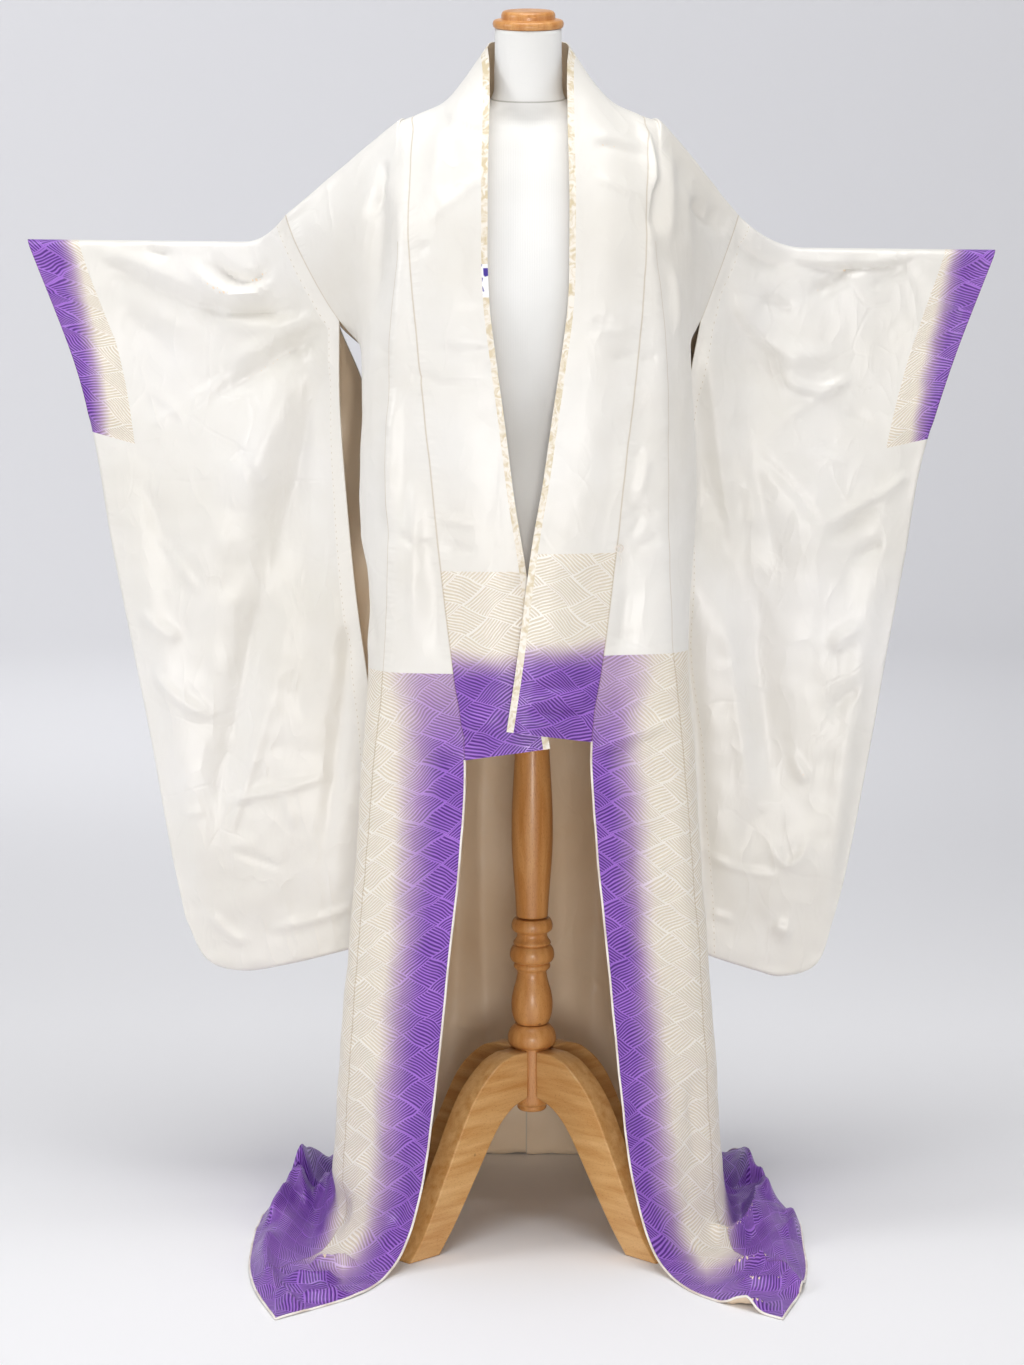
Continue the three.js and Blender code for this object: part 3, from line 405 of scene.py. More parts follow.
# The rod through the sleeves: a straight length of wood with sawn ends that holds both sleeves
# out. Only its ends show, inside the cuffs.
dowel = beech("dowel_oiled", 0, "#C68F4E", "#E2B77C")
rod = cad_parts["sleeve_rod"]
rod.data.materials.clear()
rod.data.materials.append(dowel)
for polygon in rod.data.polygons:
    polygon.material_index = 0

# The cloth of the garment lies on one surface of joined panels. Its tables give the mean of
# both sides in millimetres about the stand's pole: a row for each section from the shoulder
# ridge down, a column for each line along the cloth from the collar's edge to the side.
COLUMNS = ("edge", "mid", "seam", "okumi", "fold", "side")
SEAM = COLUMNS.index("seam")
SIDE = COLUMNS.index("side")
FRONT_ROWS = [
    ((52, 8, 1580), (100, 4, 1514), (145, 0, 1489), (162, -2, 1483), (181, 0, 1473), (300, 70, 1360)),
    ((50, -36, 1552), (101, -38, 1500), (149, -36, 1467),
     (166, -33, 1459), (188, -22, 1441), (296, 64, 1347)),
    ((50, -76, 1488), (103, -82, 1452), (151, -74, 1415),
     (166, -68, 1408), (194, -46, 1385), (285, 58, 1318)),
    ((52, -116, 1385), (104, -121, 1360), (151, -106, 1333),
     (163, -100, 1328), (203, -54, 1308), (262, 54, 1266)),
    ((51, -131, 1268), (100, -133, 1258), (146, -118, 1250),
     (172, -106, 1245), (209, -48, 1238), (240, 58, 1222)),
    ((42, -135, 1185), (92, -136, 1183), (140, -122, 1180),
     (178, -108, 1175), (214, -36, 1165), (205, 50, 1168)),
    ((30, -139, 1100), (82, -140, 1100), (132, -128, 1100),
     (180, -110, 1098), (217, -28, 1095), (186, 86, 1095)),
    ((18, -142, 1010), (70, -143, 1010), (122, -132, 1010),
     (180, -112, 1010), (221, -24, 1010), (183, 92, 1010)),
    ((3, -148, 920), (58, -147, 920), (113, -135, 920), (182, -115, 920), (217, -24, 920), (182, 95, 920)),
    ((-14, -156, 787), (42, -153, 787), (97, -140, 787), (188, -115, 787), (206, -26, 787), (182, 97, 787)),
    ((-28, -163, 692), (27, -159, 684), (82, -146, 675), (200, -115, 675), (207, -28, 675), (183, 100, 675)),
    (None, None, (89, -155, 540), (211, -111, 540), (217, -28, 540), (186, 102, 540)),
    (None, None, (104, -163, 400), (224, -105, 400), (231, -26, 400), (193, 106, 400)),
    (None, None, (118, -170, 260), (235, -98, 260), (246, -16, 260), (220, 130, 260)),
    (None, None, (134, -182, 130), (244, -92, 130), (258, -10, 130), (246, 140, 130)),
    (None, None, (155, -206, 46), (252, -98, 40), (270, -12, 46), (262, 134, 50)),
    (None, None, (180, -240, 7), (272, -130, 1), (290, -24, 6), (286, 126, 10)),
    (None, None, (222, -318, 1), (312, -205, 6), (330, -76, 24), (326, 92, 26)),
    (None, None, (316, -407, 1), (352, -282, 1), (366, -150, 1), (358, 44, 1)),
]
BACK_ROWS = [
    ((30, 58, 1586), (62, 72, 1530), (92, 80, 1482), (122, 74, 1475), (165, 74, 1450), (296, 118, 1345)),
    ((0, 74, 1588), (0, 98, 1528), (0, 116, 1470), (70, 116, 1453), (140, 118, 1418), (284, 143, 1310)),
    (None, None, (0, 131, 1400), (75, 134, 1382), (148, 138, 1342), (266, 148, 1262)),
    (None, None, (0, 144, 1300), (82, 149, 1286), (160, 150, 1262), (244, 142, 1212)),
    (None, None, (0, 155, 1200), (84, 163, 1190), (160, 158, 1176), (200, 118, 1160)),
    (None, None, (0, 168, 1100), (84, 177, 1098), (152, 156, 1096), None),
    (None, None, (0, 180, 1010), (84, 190, 1010), (152, 163, 1010), None),
    (None, None, (0, 191, 920), (86, 200, 920), (153, 170, 920), None),
    (None, None, (0, 207, 787), (88, 214, 787), (156, 180, 787), None),
    (None, None, (0, 221, 675), (90, 227, 675), (158, 190, 675), None),
    (None, None, (0, 238, 540), (93, 242, 540), (162, 200, 540), None),
    (None, None, (0, 256, 400), (97, 258, 400), (170, 212, 400), None),
    (None, None, (0, 274, 260), (102, 274, 260), (190, 228, 260), None),
    (None, None, (0, 292, 130), (108, 288, 130), (208, 238, 130), None),
    (None, None, (0, 306, 46), (112, 300, 46), (218, 246, 50), None),
    (None, None, (0, 326, 2), (118, 322, 2), (232, 260, 8), None),
    (None, None, (0, 370, 8), (130, 362, 10), (262, 276, 20), None),
    (None, None, (0, 412, 1), (140, 398, 1), (284, 276, 1), None),
]
COLLAR_END_ROW = 10
COLLAR_SEAM_ROW = 8
OKUMI_ROW = 3
NAPE_ROW = 2
ARMPIT_ROW = 4
SLIT_ROW = 6
HAKKAKE_ROW = 9
LAST_ROW = 18
SLEEVE_LEAN = -21
SIDE_DROP = 12
LAP = 7
SILK_THICKNESS = 1.0
SIDES = {"right": -1, "left": 1}
CELL = 5.0


def smooth(start, end, value):
    part = np.clip((value - start) / (end - start), 0, 1)
    return part * part * (3 - 2 * part)


def placed(side, points):
    """Mean points set on one side: the garment leans, and the left front is held higher."""
    x, y, z = np.moveaxis(np.asarray(points, float), -1, 0)
    outward = smooth(180, 300, np.abs(x)) * smooth(1050, 1230, z)
    held = smooth(300, 650, z) * smooth(1180, 930, z) * smooth(60, -60, y)
    return np.stack([side * x + LEAN + SLEEVE_LEAN * outward, y, z + side * SIDE_DROP * held], -1)


def column_lines(side, rows):
    """The seam, okumi, fold and side lines at each row."""
    table = [list(row[SEAM:]) for row in BACK_ROWS[::-1] + FRONT_ROWS]
    for k in range(SLIT_ROW, LAST_ROW + 1):
        table[LAST_ROW - k][SIDE - SEAM] = FRONT_ROWS[k][SIDE]
    points = placed(side, table)
    lines = catmull(points, rows + LAST_ROW)
    sewn = rows < -SLIT_ROW
    lines[sewn, 3] = catmull(points, LAST_ROW - rows[sewn])[:, 3]
    lines[rows <= -NAPE_ROW, 0, 0] = LEAN
    return lines


LongFold = namedtuple("LongFold", "column first last width height")
LONG_FOLDS = [
    LongFold(1.5, 3, 12, 0.28, 5), LongFold(2.45, 5, 14, 0.3, -7), LongFold(0.55, -16, -3, 0.26, -8),
    LongFold(1.3, -16, -4, 0.3, 8), LongFold(2.2, -15, -6, 0.3, -6),
]


def outward_of(points):
    """The direction that a fold of the body stands out in: away from the wearer, up on the floor."""
    x, y, z = np.moveaxis(points, -1, 0)
    hanging = smooth(25, 110, z)
    out = np.stack([(x - LEAN) * hanging, 1.6 * y * hanging, 60 * (1 - hanging)], -1)
    return out / np.linalg.norm(out, axis=-1, keepdims=True)


def body_surface(side, columns, rows):
    """Points of the body strip: column 0 at the collar seam or centre back, 3 at the side edge."""
    line = column_lines(side, rows)
    far = column_lines(side, -rows)[:, 2]
    first = 2 * line[:, 0] - line[:, 1]
    mirrored = np.stack([2 * LEAN - line[:, 1, 0], line[:, 1, 1], line[:, 1, 2]], 1)
    first += (mirrored - first) * smooth(-NAPE_ROW + 1, -NAPE_ROW, rows)[:, None]
    last = 2 * line[:, 3] - line[:, 2]
    last += (far - last) * smooth(SLIT_ROW - 1, SLIT_ROW, np.abs(rows))[:, None]
    padded = np.concatenate([first[:, None], line, last[:, None]], 1).transpose(1, 0, 2)
    grid = spline_part(padded, columns, SIDE - SEAM).transpose(1, 0, 2)
    height = np.zeros(grid.shape[:2])
    for fold in LONG_FOLDS:
        fade = smooth(fold.first, fold.first + 2, rows) * (1 - smooth(fold.last - 2, fold.last, rows))
        height += fold.height * fade[:, None] * np.exp(-((columns - fold.column) / fold.width) ** 2)[None]
    height *= (smooth(0, 0.25, columns) * smooth(3, 2.75, columns))[None]
    outward = np.stack([grid[..., 0] - LEAN, 1.6 * grid[..., 1], np.zeros(height.shape)], -1)
    outward /= np.linalg.norm(outward, axis=-1, keepdims=True)
    return grid + outward * height[..., None]


def collar_surface(side, across, rows):
    """Points of the collar: across 0 at its free edge, 1 at its seam to the body."""
    table = [row[:SEAM] for row in BACK_ROWS[NAPE_ROW - 1::-1] + FRONT_ROWS[:COLLAR_END_ROW + 1]]
    lines = catmull(placed(side, table), rows + NAPE_ROW)
    three = np.concatenate([lines, column_lines(side, rows)[:, :1]], 1).transpose(1, 0, 2)
    grid = catmull(three, across * 2).transpose(1, 0, 2)
    grid[..., 1] -= side * LAP * (1 - across)[None] * smooth(6, 8, rows)[:, None]
    grid[rows <= -NAPE_ROW, :, 0] = LEAN
    return grid


FOLD_DEPTH = 1.35
SLEEVE_DEPTHS = 1.25


def fold_height(x, z, folds):
    """How far folds stand out at places of a plane view. A row of folds holds start x and z, over
    x and z, end x and z, width and height: a soft ridge, or below zero a trough, along a curve
    from start through over to end, that dies out at both ends."""
    total = np.zeros(x.shape)
    t = np.linspace(0, 1, 15)[:, None]
    for fold in folds:
        a, b, c = np.reshape(fold[:6], (3, 2)).astype(float)
        b = 2 * b - (a + c) / 2
        width = max(fold[6], CELL)
        path = (1 - t) ** 2 * a + 2 * t * (1 - t) * b + t ** 2 * c
        reach = 2.6 * width
        low, high = path.min(0) - reach, path.max(0) + reach
        near = (x > low[0]) & (x < high[0]) & (z > low[1]) & (z < high[1])
        if not near.any():
            continue
        spots = np.stack([x[near], z[near]], -1)
        best = np.full(len(spots), 1e9)
        along = np.zeros(len(spots))
        for k in range(len(path) - 1):
            run = path[k + 1] - path[k]
            share = np.clip(((spots - path[k]) @ run) / (run @ run), 0, 1)
            away = np.linalg.norm(spots - path[k] - share[:, None] * run, axis=1)
            closer = away < best
            best[closer] = away[closer]
            along[closer] = (k + share[closer]) / (len(path) - 1)
        fade = smooth(0, 0.3, along) * smooth(1, 0.7, along)
        total[near] += FOLD_DEPTH * fold[7] * fade * np.exp(-(best / width) ** 1.6)
    return total


def crumpled(points, size, seed):
    """Smooth uneven heights between about -1 and 1, one bulge for each size in millimetres."""
    flat = points.reshape(-1, 3) / size + seed
    heights = [noise.noise(Vector(p)) for p in flat.tolist()]
    return np.array(heights).reshape(points.shape[:-1])


def run_lengths(grid, axis):
    """Distances along one way of a grid of points, in metres from its first line."""
    steps = np.linalg.norm(np.diff(grid, axis=axis), axis=-1) * MM
    start = [(0, 0), (0, 0)]
    start[axis] = (1, 0)
    return np.pad(np.cumsum(steps, axis=axis), start)


def grid_normals(grid, sign):
    across = np.gradient(grid, axis=1)
    down = np.gradient(grid, axis=0)
    normal = np.cross(across, down) * sign
    return normal / np.maximum(np.linalg.norm(normal, axis=-1, keepdims=True), 1e-9)


def cloth_shell(name, grid, normals, maps, sign, cells, materials, thickness=SILK_THICKNESS):
    """A closed thin shell on the picked cells of a grid, with its maps in metres along the cloth."""
    rows, columns = grid.shape[:2]
    ids = np.arange(rows * columns).reshape(rows, columns)
    quads = np.stack([ids[:-1, :-1], ids[:-1, 1:], ids[1:, 1:], ids[1:, :-1]], -1)[cells]
    if sign < 0:
        quads = quads[:, ::-1]
    used, quads = np.unique(quads, return_inverse=True)
    quads = quads.reshape(-1, 4)
    count = len(used)
    middle = grid.reshape(-1, 3)[used]
    lift = normals.reshape(-1, 3)[used] * thickness / 2
    skins = np.concatenate([middle + lift, middle - lift])
    skins[:, 2] = np.maximum(skins[:, 2], 0)
    edges = np.concatenate([quads[:, [k, (k + 1) % 4]] for k in range(4)])
    ahead = edges[:, 0] * count + edges[:, 1]
    behind = edges[:, 1] * count + edges[:, 0]
    rim = edges[~np.isin(ahead, behind)]
    walls = np.stack([rim[:, 1], rim[:, 0], rim[:, 0] + count, rim[:, 1] + count], -1)
    faces = np.concatenate([quads, quads[:, ::-1] + count, walls])
    made = mesh_object(name, skins * MM + np.array(POLE), faces.tolist(), materials)
    inside = np.zeros(len(faces), int)
    inside[len(quads):2 * len(quads)] = 1
    made.data.polygons.foreach_set("material_index", inside)
    made.data.set_sharp_from_angle(angle=math.radians(60))
    corners = used[faces.reshape(-1) % count]
    for map_name, (u, v) in maps.items():
        layer = made.data.uv_layers.new(name=map_name)
        pairs = np.stack([u.reshape(-1)[corners], v.reshape(-1)[corners]], -1)
        layer.data.foreach_set("uv", pairs.reshape(-1).astype(np.float32))
    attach(made, "root")
    return made


def between(values, low, high):
    """Which cells between neighbouring values lie from low to high."""
    middles = (values[:-1] + values[1:]) / 2
    return (middles > low) & (middles < high)


# Habutai lining silk: a plain woven, degummed silk, pressed and folded away for years. It gives
# a soft satin light, a faint yellow where it has aged, and many small flattened creases.
AGE_PATCH = 0.3125
TURNING_WIDTH = 0.024
STITCH = 0.009
SEAM_SHADE = 0.0018
PUCKER_REACH = 0.022
PUCKER_SPACING = 0.010
PUCKER_LENGTH = 0.05
THREAD_SPACING = 0.0016
SLUB_LENGTH = 0.045
CREASE_SPACING = 0.085
CREASE_DEPTH = 0.0011
CREASE_SWAY = 0.111
SPARED_PATCH = 0.143
RUMPLE_SIZE = 0.034


def seams_of(tree, cloth):
    """The cloth's place as numbers, its distance from the nearer seam, and the shade at the seam."""
    near = node(tree, "ShaderNodeSeparateXYZ", Vector=cloth)
    edges = node(tree, "ShaderNodeUVMap", {"uv_map": "Edges"})
    far = node(tree, "ShaderNodeSeparateXYZ", Vector=edges)
    nearest = node(tree, "ShaderNodeMath", {"operation": "MINIMUM"}, i0=near, i1=far)
    seam = node(tree, "ShaderNodeMapRange", {"interpolation_type": "SMOOTHSTEP"}, i0=nearest,
                i1=SEAM_SHADE, i2=0.0)
    return near, nearest, seam


def silk(name, light, dark, creasing, turned_in=False, puckered=True):
    """Plain silk. turned_in gives it the hand-stitched turning down the sleeve's open edge."""
    made, tree, shader = material(name)
    cloth = node(tree, "ShaderNodeUVMap", {"uv_map": "Cloth"})
    place = node(tree, "ShaderNodeTexCoord").outputs["Object"]
    age = node(tree, "ShaderNodeTexNoise", Vector=place, Scale=1 / AGE_PATCH, Detail=4.0, Roughness=0.55)
    tone = node(tree, "ShaderNodeValToRGB", {"color_ramp": [(0.34, dark), (0.62, light)]}, Fac=age)
    colour = tone.outputs[0]
    near, nearest, seam = seams_of(tree, cloth)
    if turned_in:
        inside_fold = node(tree, "ShaderNodeMapRange", {"interpolation_type": "SMOOTHSTEP"}, i0=near,
                           i1=TURNING_WIDTH + 0.0012, i2=TURNING_WIDTH - 0.0012)
        hem = node(tree, "ShaderNodeMix", {"data_type": "RGBA"}, i0=inside_fold,
                   i6=colour, i7=linear("#F0EDE6"))
        place_along = node(tree, "ShaderNodeMath", {"operation": "PINGPONG"},
                           i0=near.outputs[1], i1=STITCH / 2)
        off_line = node(tree, "ShaderNodeMath", {"operation": "SUBTRACT"}, i0=near, i1=TURNING_WIDTH - 0.002)
        off = node(tree, "ShaderNodeMath", {"operation": "ABSOLUTE"}, i0=off_line)
        reach = node(tree, "ShaderNodeMath", {"operation": "MULTIPLY_ADD"}, i0=off, i1=2.2, i2=place_along)
        stitched = node(tree, "ShaderNodeMath", {"operation": "LESS_THAN"}, i0=reach, i1=0.0017)
        thread = node(tree, "ShaderNodeMix", {"data_type": "RGBA"}, i0=stitched,
                      i6=hem.outputs[2], i7=linear("#D8CFBF"))
        colour = thread.outputs[2]
    sewn = node(tree, "ShaderNodeMix", {"data_type": "RGBA"}, i0=seam, i6=colour, i7=linear("#D3C9B9"))
    tree.links.new(sewn.outputs[2], shader.inputs["Base Color"])
    slub = node(tree, "ShaderNodeMapping", Vector=cloth, Scale=(1 / THREAD_SPACING, 1 / SLUB_LENGTH, 1))
    threads = node(tree, "ShaderNodeTexNoise", Vector=slub, Scale=1.0, Detail=2.0)
    woven = node(tree, "ShaderNodeBump", Strength=0.10, Distance=0.0003, Height=threads)
    sway = node(tree, "ShaderNodeTexNoise", Vector=place, Scale=1 / CREASE_SWAY, Detail=1.0)
    bent = node(tree, "ShaderNodeMix", {"data_type": "VECTOR"}, i0=0.07, i4=place, i5=sway.outputs["Color"])
    pressed = node(tree, "ShaderNodeTexVoronoi", {"feature": "DISTANCE_TO_EDGE"}, Vector=bent.outputs[1],
                   Scale=1 / CREASE_SPACING, Randomness=1.0)
    ridge = node(tree, "ShaderNodeMapRange", {"interpolation_type": "SMOOTHSTEP"}, i0=pressed,
                 i1=0.0, i2=0.045)
    spared = node(tree, "ShaderNodeTexNoise", Vector=place, Scale=1 / SPARED_PATCH, Detail=1.0)
    sparing = node(tree, "ShaderNodeMapRange", i0=spared, i1=0.50, i2=0.62)
    shown = node(tree, "ShaderNodeMix", {"data_type": "FLOAT"}, i0=sparing, i2=1.0, i3=ridge)
    creases = node(tree, "ShaderNodeBump", Strength=creasing * 0.3, Distance=CREASE_DEPTH,
                   Height=shown, Normal=woven)
    leaning = node(tree, "ShaderNodeMapping", Vector=place, Rotation=(0, 0.7, 0), Scale=(1.0, 1.0, 0.5))
    rumple = node(tree, "ShaderNodeTexNoise", {"noise_type": "RIDGED_MULTIFRACTAL"}, Vector=leaning,
                  Scale=1 / RUMPLE_SIZE, Detail=3.0, Roughness=0.4, Distortion=0.5, Offset=1.0, Gain=1.0)
    soft = node(tree, "ShaderNodeBump", Strength=creasing * 0.7, Distance=CREASE_DEPTH,
                Height=rumple, Normal=creases)
    if puckered:
        by_seam = node(tree, "ShaderNodeMapRange", {"interpolation_type": "SMOOTHSTEP"}, i0=nearest,
                       i1=PUCKER_REACH, i2=0.0)
        drawn = node(tree, "ShaderNodeMapping", Vector=cloth,
                     Scale=(1 / PUCKER_LENGTH, 1 / PUCKER_SPACING, 1))
        waves = node(tree, "ShaderNodeTexNoise", Vector=drawn, Scale=1.0, Detail=1.0)
        pucker = node(tree, "ShaderNodeMath", {"operation": "MULTIPLY"}, i0=by_seam, i1=waves)
        soft = node(tree, "ShaderNodeBump", Strength=0.55, Distance=0.003, Height=pucker, Normal=soft)
    tree.links.new(soft.outputs[0], shader.inputs["Normal"])
    shader.inputs["Roughness"].default_value = 0.38
    shader.inputs["Specular IOR Level"].default_value = 0.6
    shader.inputs["Sheen Weight"].default_value = 0.10
    shader.inputs["Sheen Roughness"].default_value = 0.35
    return made


lining_silk = silk("habutai_silk_lining", "#EFEDE8", "#E6E2D9", 0.6)
sleeve_silk = silk("habutai_silk_sleeve_lining", "#F0EEEA", "#E7E4DC", 0.9, turned_in=True)
# Partly painted shade: the inside cloth has its own pale beige, warmed toward the tan that shadowed silk
# shows inside the garment where light comes through it.
inner_silk = silk("crepe_silk_face_inside", "#F6E4CC", "#EBD2B2", 0.6, puckered=False)

# Figured hem lining: rinzu damask, woven with a lattice whose lozenges are hatched by turns along
# one side and the other. Its satin lines catch the light: this is painted sheen, the lines coloured paler
# than the ground, besides their lower roughness. It is brushed with dye from cream to purple toward the
# edges, which is bokashi. The hatching is drawn a little coarser than woven.
LATTICE_RISE = 0.040
FALLING_SLOPE = 0.84
RISING_SLOPE = -0.40
HATCH_SPACING = 0.0044
BORDER_LINE = 0.030
WOBBLE_LENGTH = 0.05
DRIFT_LENGTH = 0.111
WEAR_SIZE = 0.0715
Bokashi = namedtuple("Bokashi", "axis full gone slant")


def damask(name, shadings, light="#F6F1E8", ground="#DED2BD",
           deep="#571B88", bright="#AE76DE", fades_above=None):
    """Figured silk. Each shading is dyed up to full metres along one axis of a map, undyed at gone,
    and comes slant metres nearer for each metre along the other axis."""
    made, tree, shader = material(name)
    cloth = node(tree, "ShaderNodeUVMap", {"uv_map": "Cloth"})
    place = node(tree, "ShaderNodeTexCoord").outputs["Object"]
    wobble = node(tree, "ShaderNodeTexNoise", Vector=cloth, Scale=1 / WOBBLE_LENGTH, Detail=1.5)
    shaken = node(tree, "ShaderNodeMix", {"data_type": "VECTOR"}, i0=0.016,
                  i4=cloth, i5=wobble.outputs["Color"])
    split = node(tree, "ShaderNodeSeparateXYZ", Vector=shaken.outputs[1])
    families = []
    cells = []
    for slope in (FALLING_SLOPE, RISING_SLOPE):
        level = node(tree, "ShaderNodeMath", {"operation": "MULTIPLY_ADD"},
                     i0=split, i1=slope, i2=split.outputs[1])
        cell = node(tree, "ShaderNodeMath", {"operation": "DIVIDE"}, i0=level, i1=LATTICE_RISE)
        whole = node(tree, "ShaderNodeMath", {"operation": "FLOOR"}, i0=cell)
        within = node(tree, "ShaderNodeMath", {"operation": "PINGPONG"}, i0=cell, i1=0.5)
        border = node(tree, "ShaderNodeMapRange", {"interpolation_type": "SMOOTHSTEP"}, i0=within,
                      i1=BORDER_LINE, i2=BORDER_LINE / 3)
        turns = node(tree, "ShaderNodeMath", {"operation": "MULTIPLY"},
                     i0=level, i1=2 * math.pi / HATCH_SPACING)
        hatch = node(tree, "ShaderNodeMath", {"operation": "SINE"}, i0=turns)
        families.append((hatch, border))
        cells.append(whole)
    apart = node(tree, "ShaderNodeMath", {"operation": "SUBTRACT"}, i0=cells[0], i1=cells[1])
    parity = node(tree, "ShaderNodeMath", {"operation": "PINGPONG"}, i0=apart, i1=1.0)
    lines = node(tree, "ShaderNodeMix", {"data_type": "FLOAT"}, i0=parity,
                 i2=families[0][0], i3=families[1][0])
    hatched = node(tree, "ShaderNodeMapRange", {"interpolation_type": "SMOOTHSTEP"}, i0=lines,
                   i1=-0.55, i2=0.8)
    borders = node(tree, "ShaderNodeMath", {"operation": "MAXIMUM"}, i0=families[0][1], i1=families[1][1])
    figure = node(tree, "ShaderNodeMath", {"operation": "MAXIMUM"}, i0=hatched, i1=borders)
    drift_noise = node(tree, "ShaderNodeTexNoise", Vector=cloth, Scale=1 / DRIFT_LENGTH, Detail=2.0)
    drift = node(tree, "ShaderNodeMath", {"operation": "MULTIPLY_ADD"}, i0=drift_noise, i1=0.03, i2=-0.015)
    purple = 0.0
    for shading in shadings:
        source = node(tree, "ShaderNodeUVMap", {"uv_map": shading.axis[0]})
        parts = node(tree, "ShaderNodeSeparateXYZ", Vector=source)
        slanted = node(tree, "ShaderNodeMath", {"operation": "MULTIPLY_ADD"},
                       i0=parts.outputs[1 - shading.axis[1]], i1=shading.slant, i2=drift)
        distance = node(tree, "ShaderNodeMath", {"operation": "ADD"},
                        i0=parts.outputs[shading.axis[1]], i1=slanted)
        dye = node(tree, "ShaderNodeMapRange", {"interpolation_type": "SMOOTHSTEP"}, i0=distance,
                   i1=shading.gone, i2=shading.full)
        if fades_above and shading.axis == ("Cloth", 0):
            thinner = node(tree, "ShaderNodeMapRange", {"interpolation_type": "SMOOTHSTEP"},
                           i0=parts.outputs[1], i1=fades_above[1], i2=fades_above[0], i3=0.5, i4=1.0)
            dye = node(tree, "ShaderNodeMath", {"operation": "MULTIPLY"}, i0=dye, i1=thinner)
        purple = node(tree, "ShaderNodeMath", {"operation": "MAXIMUM"}, i0=purple, i1=dye)
    # Painted sheen: the satin lines of the figure are coloured paler than the ground, cream and purple alike,
    # for the light they catch.
    cream = node(tree, "ShaderNodeMix", {"data_type": "RGBA"}, i0=figure, i6=linear(ground), i7=linear(light))
    dyed = node(tree, "ShaderNodeMix", {"data_type": "RGBA"}, i0=figure, i6=linear(deep), i7=linear(bright))
    wear = node(tree, "ShaderNodeTexNoise", Vector=cloth, Scale=1 / WEAR_SIZE, Detail=3.0)
    uneven = node(tree, "ShaderNodeValToRGB", {"color_ramp": [(0.3, "#D9CDE6"), (0.7, "#FFFFFF")]}, Fac=wear)
    patchy = node(tree, "ShaderNodeMix", {"data_type": "RGBA", "blend_type": "MULTIPLY"}, i0=1.0,
                  i6=dyed.outputs[2], i7=uneven)
    faint = node(tree, "ShaderNodeMix", {"data_type": "RGBA", "blend_type": "MULTIPLY"}, i0=1.0,
                 i6=cream.outputs[2], i7=linear("#E0CBEA"))
    weak = node(tree, "ShaderNodeMapRange", i0=purple, i1=0.0, i2=0.6)
    strong = node(tree, "ShaderNodeMapRange", i0=purple, i1=0.08, i2=1.0)
    tinted = node(tree, "ShaderNodeMix", {"data_type": "RGBA"}, i0=weak,
                  i6=cream.outputs[2], i7=faint.outputs[2])
    colour = node(tree, "ShaderNodeMix", {"data_type": "RGBA"}, i0=strong,
                  i6=tinted.outputs[2], i7=patchy.outputs[2])
    _, _, seam = seams_of(tree, cloth)
    sewn = node(tree, "ShaderNodeMix", {"data_type": "RGBA", "blend_type": "MULTIPLY"}, i0=seam,
                i6=colour.outputs[2], i7=linear("#E2DACD"))
    tree.links.new(sewn.outputs[2], shader.inputs["Base Color"])
    raised = node(tree, "ShaderNodeBump", Strength=0.6, Distance=0.0008, Height=figure)
    rumple = node(tree, "ShaderNodeTexNoise", Vector=place, Scale=1 / RUMPLE_SIZE, Detail=3.0, Distortion=0.6)
    soft = node(tree, "ShaderNodeBump", Strength=0.35, Distance=0.004, Height=rumple, Normal=raised)
    tree.links.new(soft.outputs[0], shader.inputs["Normal"])
    gloss = node(tree, "ShaderNodeMapRange", i0=figure, i3=0.42, i4=0.28)
    tree.links.new(gloss.outputs[0], shader.inputs["Roughness"])
    shader.inputs["Specular IOR Level"].default_value = 0.6
    shader.inputs["Sheen Weight"].default_value = 0.1
    shader.inputs["Sheen Roughness"].default_value = 0.4
    return made


HEM_DYE = Bokashi(("Cloth", 1), 0.10, 0.20, 0.0)
EDGE_DYE = {
    "right": Bokashi(("Cloth", 0), 0.030, 0.104, 0.0),
    "left": Bokashi(("Cloth", 0), 0.020, 0.086, 0.0),
}
okumi_damask = {
    side_name: damask(f"rinzu_damask_bokashi_okumi_{side_name}", [dye, HEM_DYE], fades_above=(0.86, 0.99))
    for side_name, dye in EDGE_DYE.items()
}
front_damask = damask("rinzu_damask_bokashi_front", [Bokashi(("Cloth", 1), 0.14, 0.25, -1.0)])
back_damask = damask("rinzu_damask_bokashi_back", [Bokashi(("Cloth", 1), 0.16, 0.27, -0.7)])
collar_damask = damask("rinzu_damask_bokashi_collar_end", [Bokashi(("Cloth", 1), 0.094, 0.142, 0.0)])
cuff_damask = damask("rinzu_damask_bokashi_cuff", [Bokashi(("Edges", 0), 0.034, 0.068, 0.11)])
cuff_inside = damask("rinzu_damask_dyed_purple", [Bokashi(("Cloth", 0), 2.0, 3.0, 0.0)],
                     deep="#2E1454", bright="#4A2480")

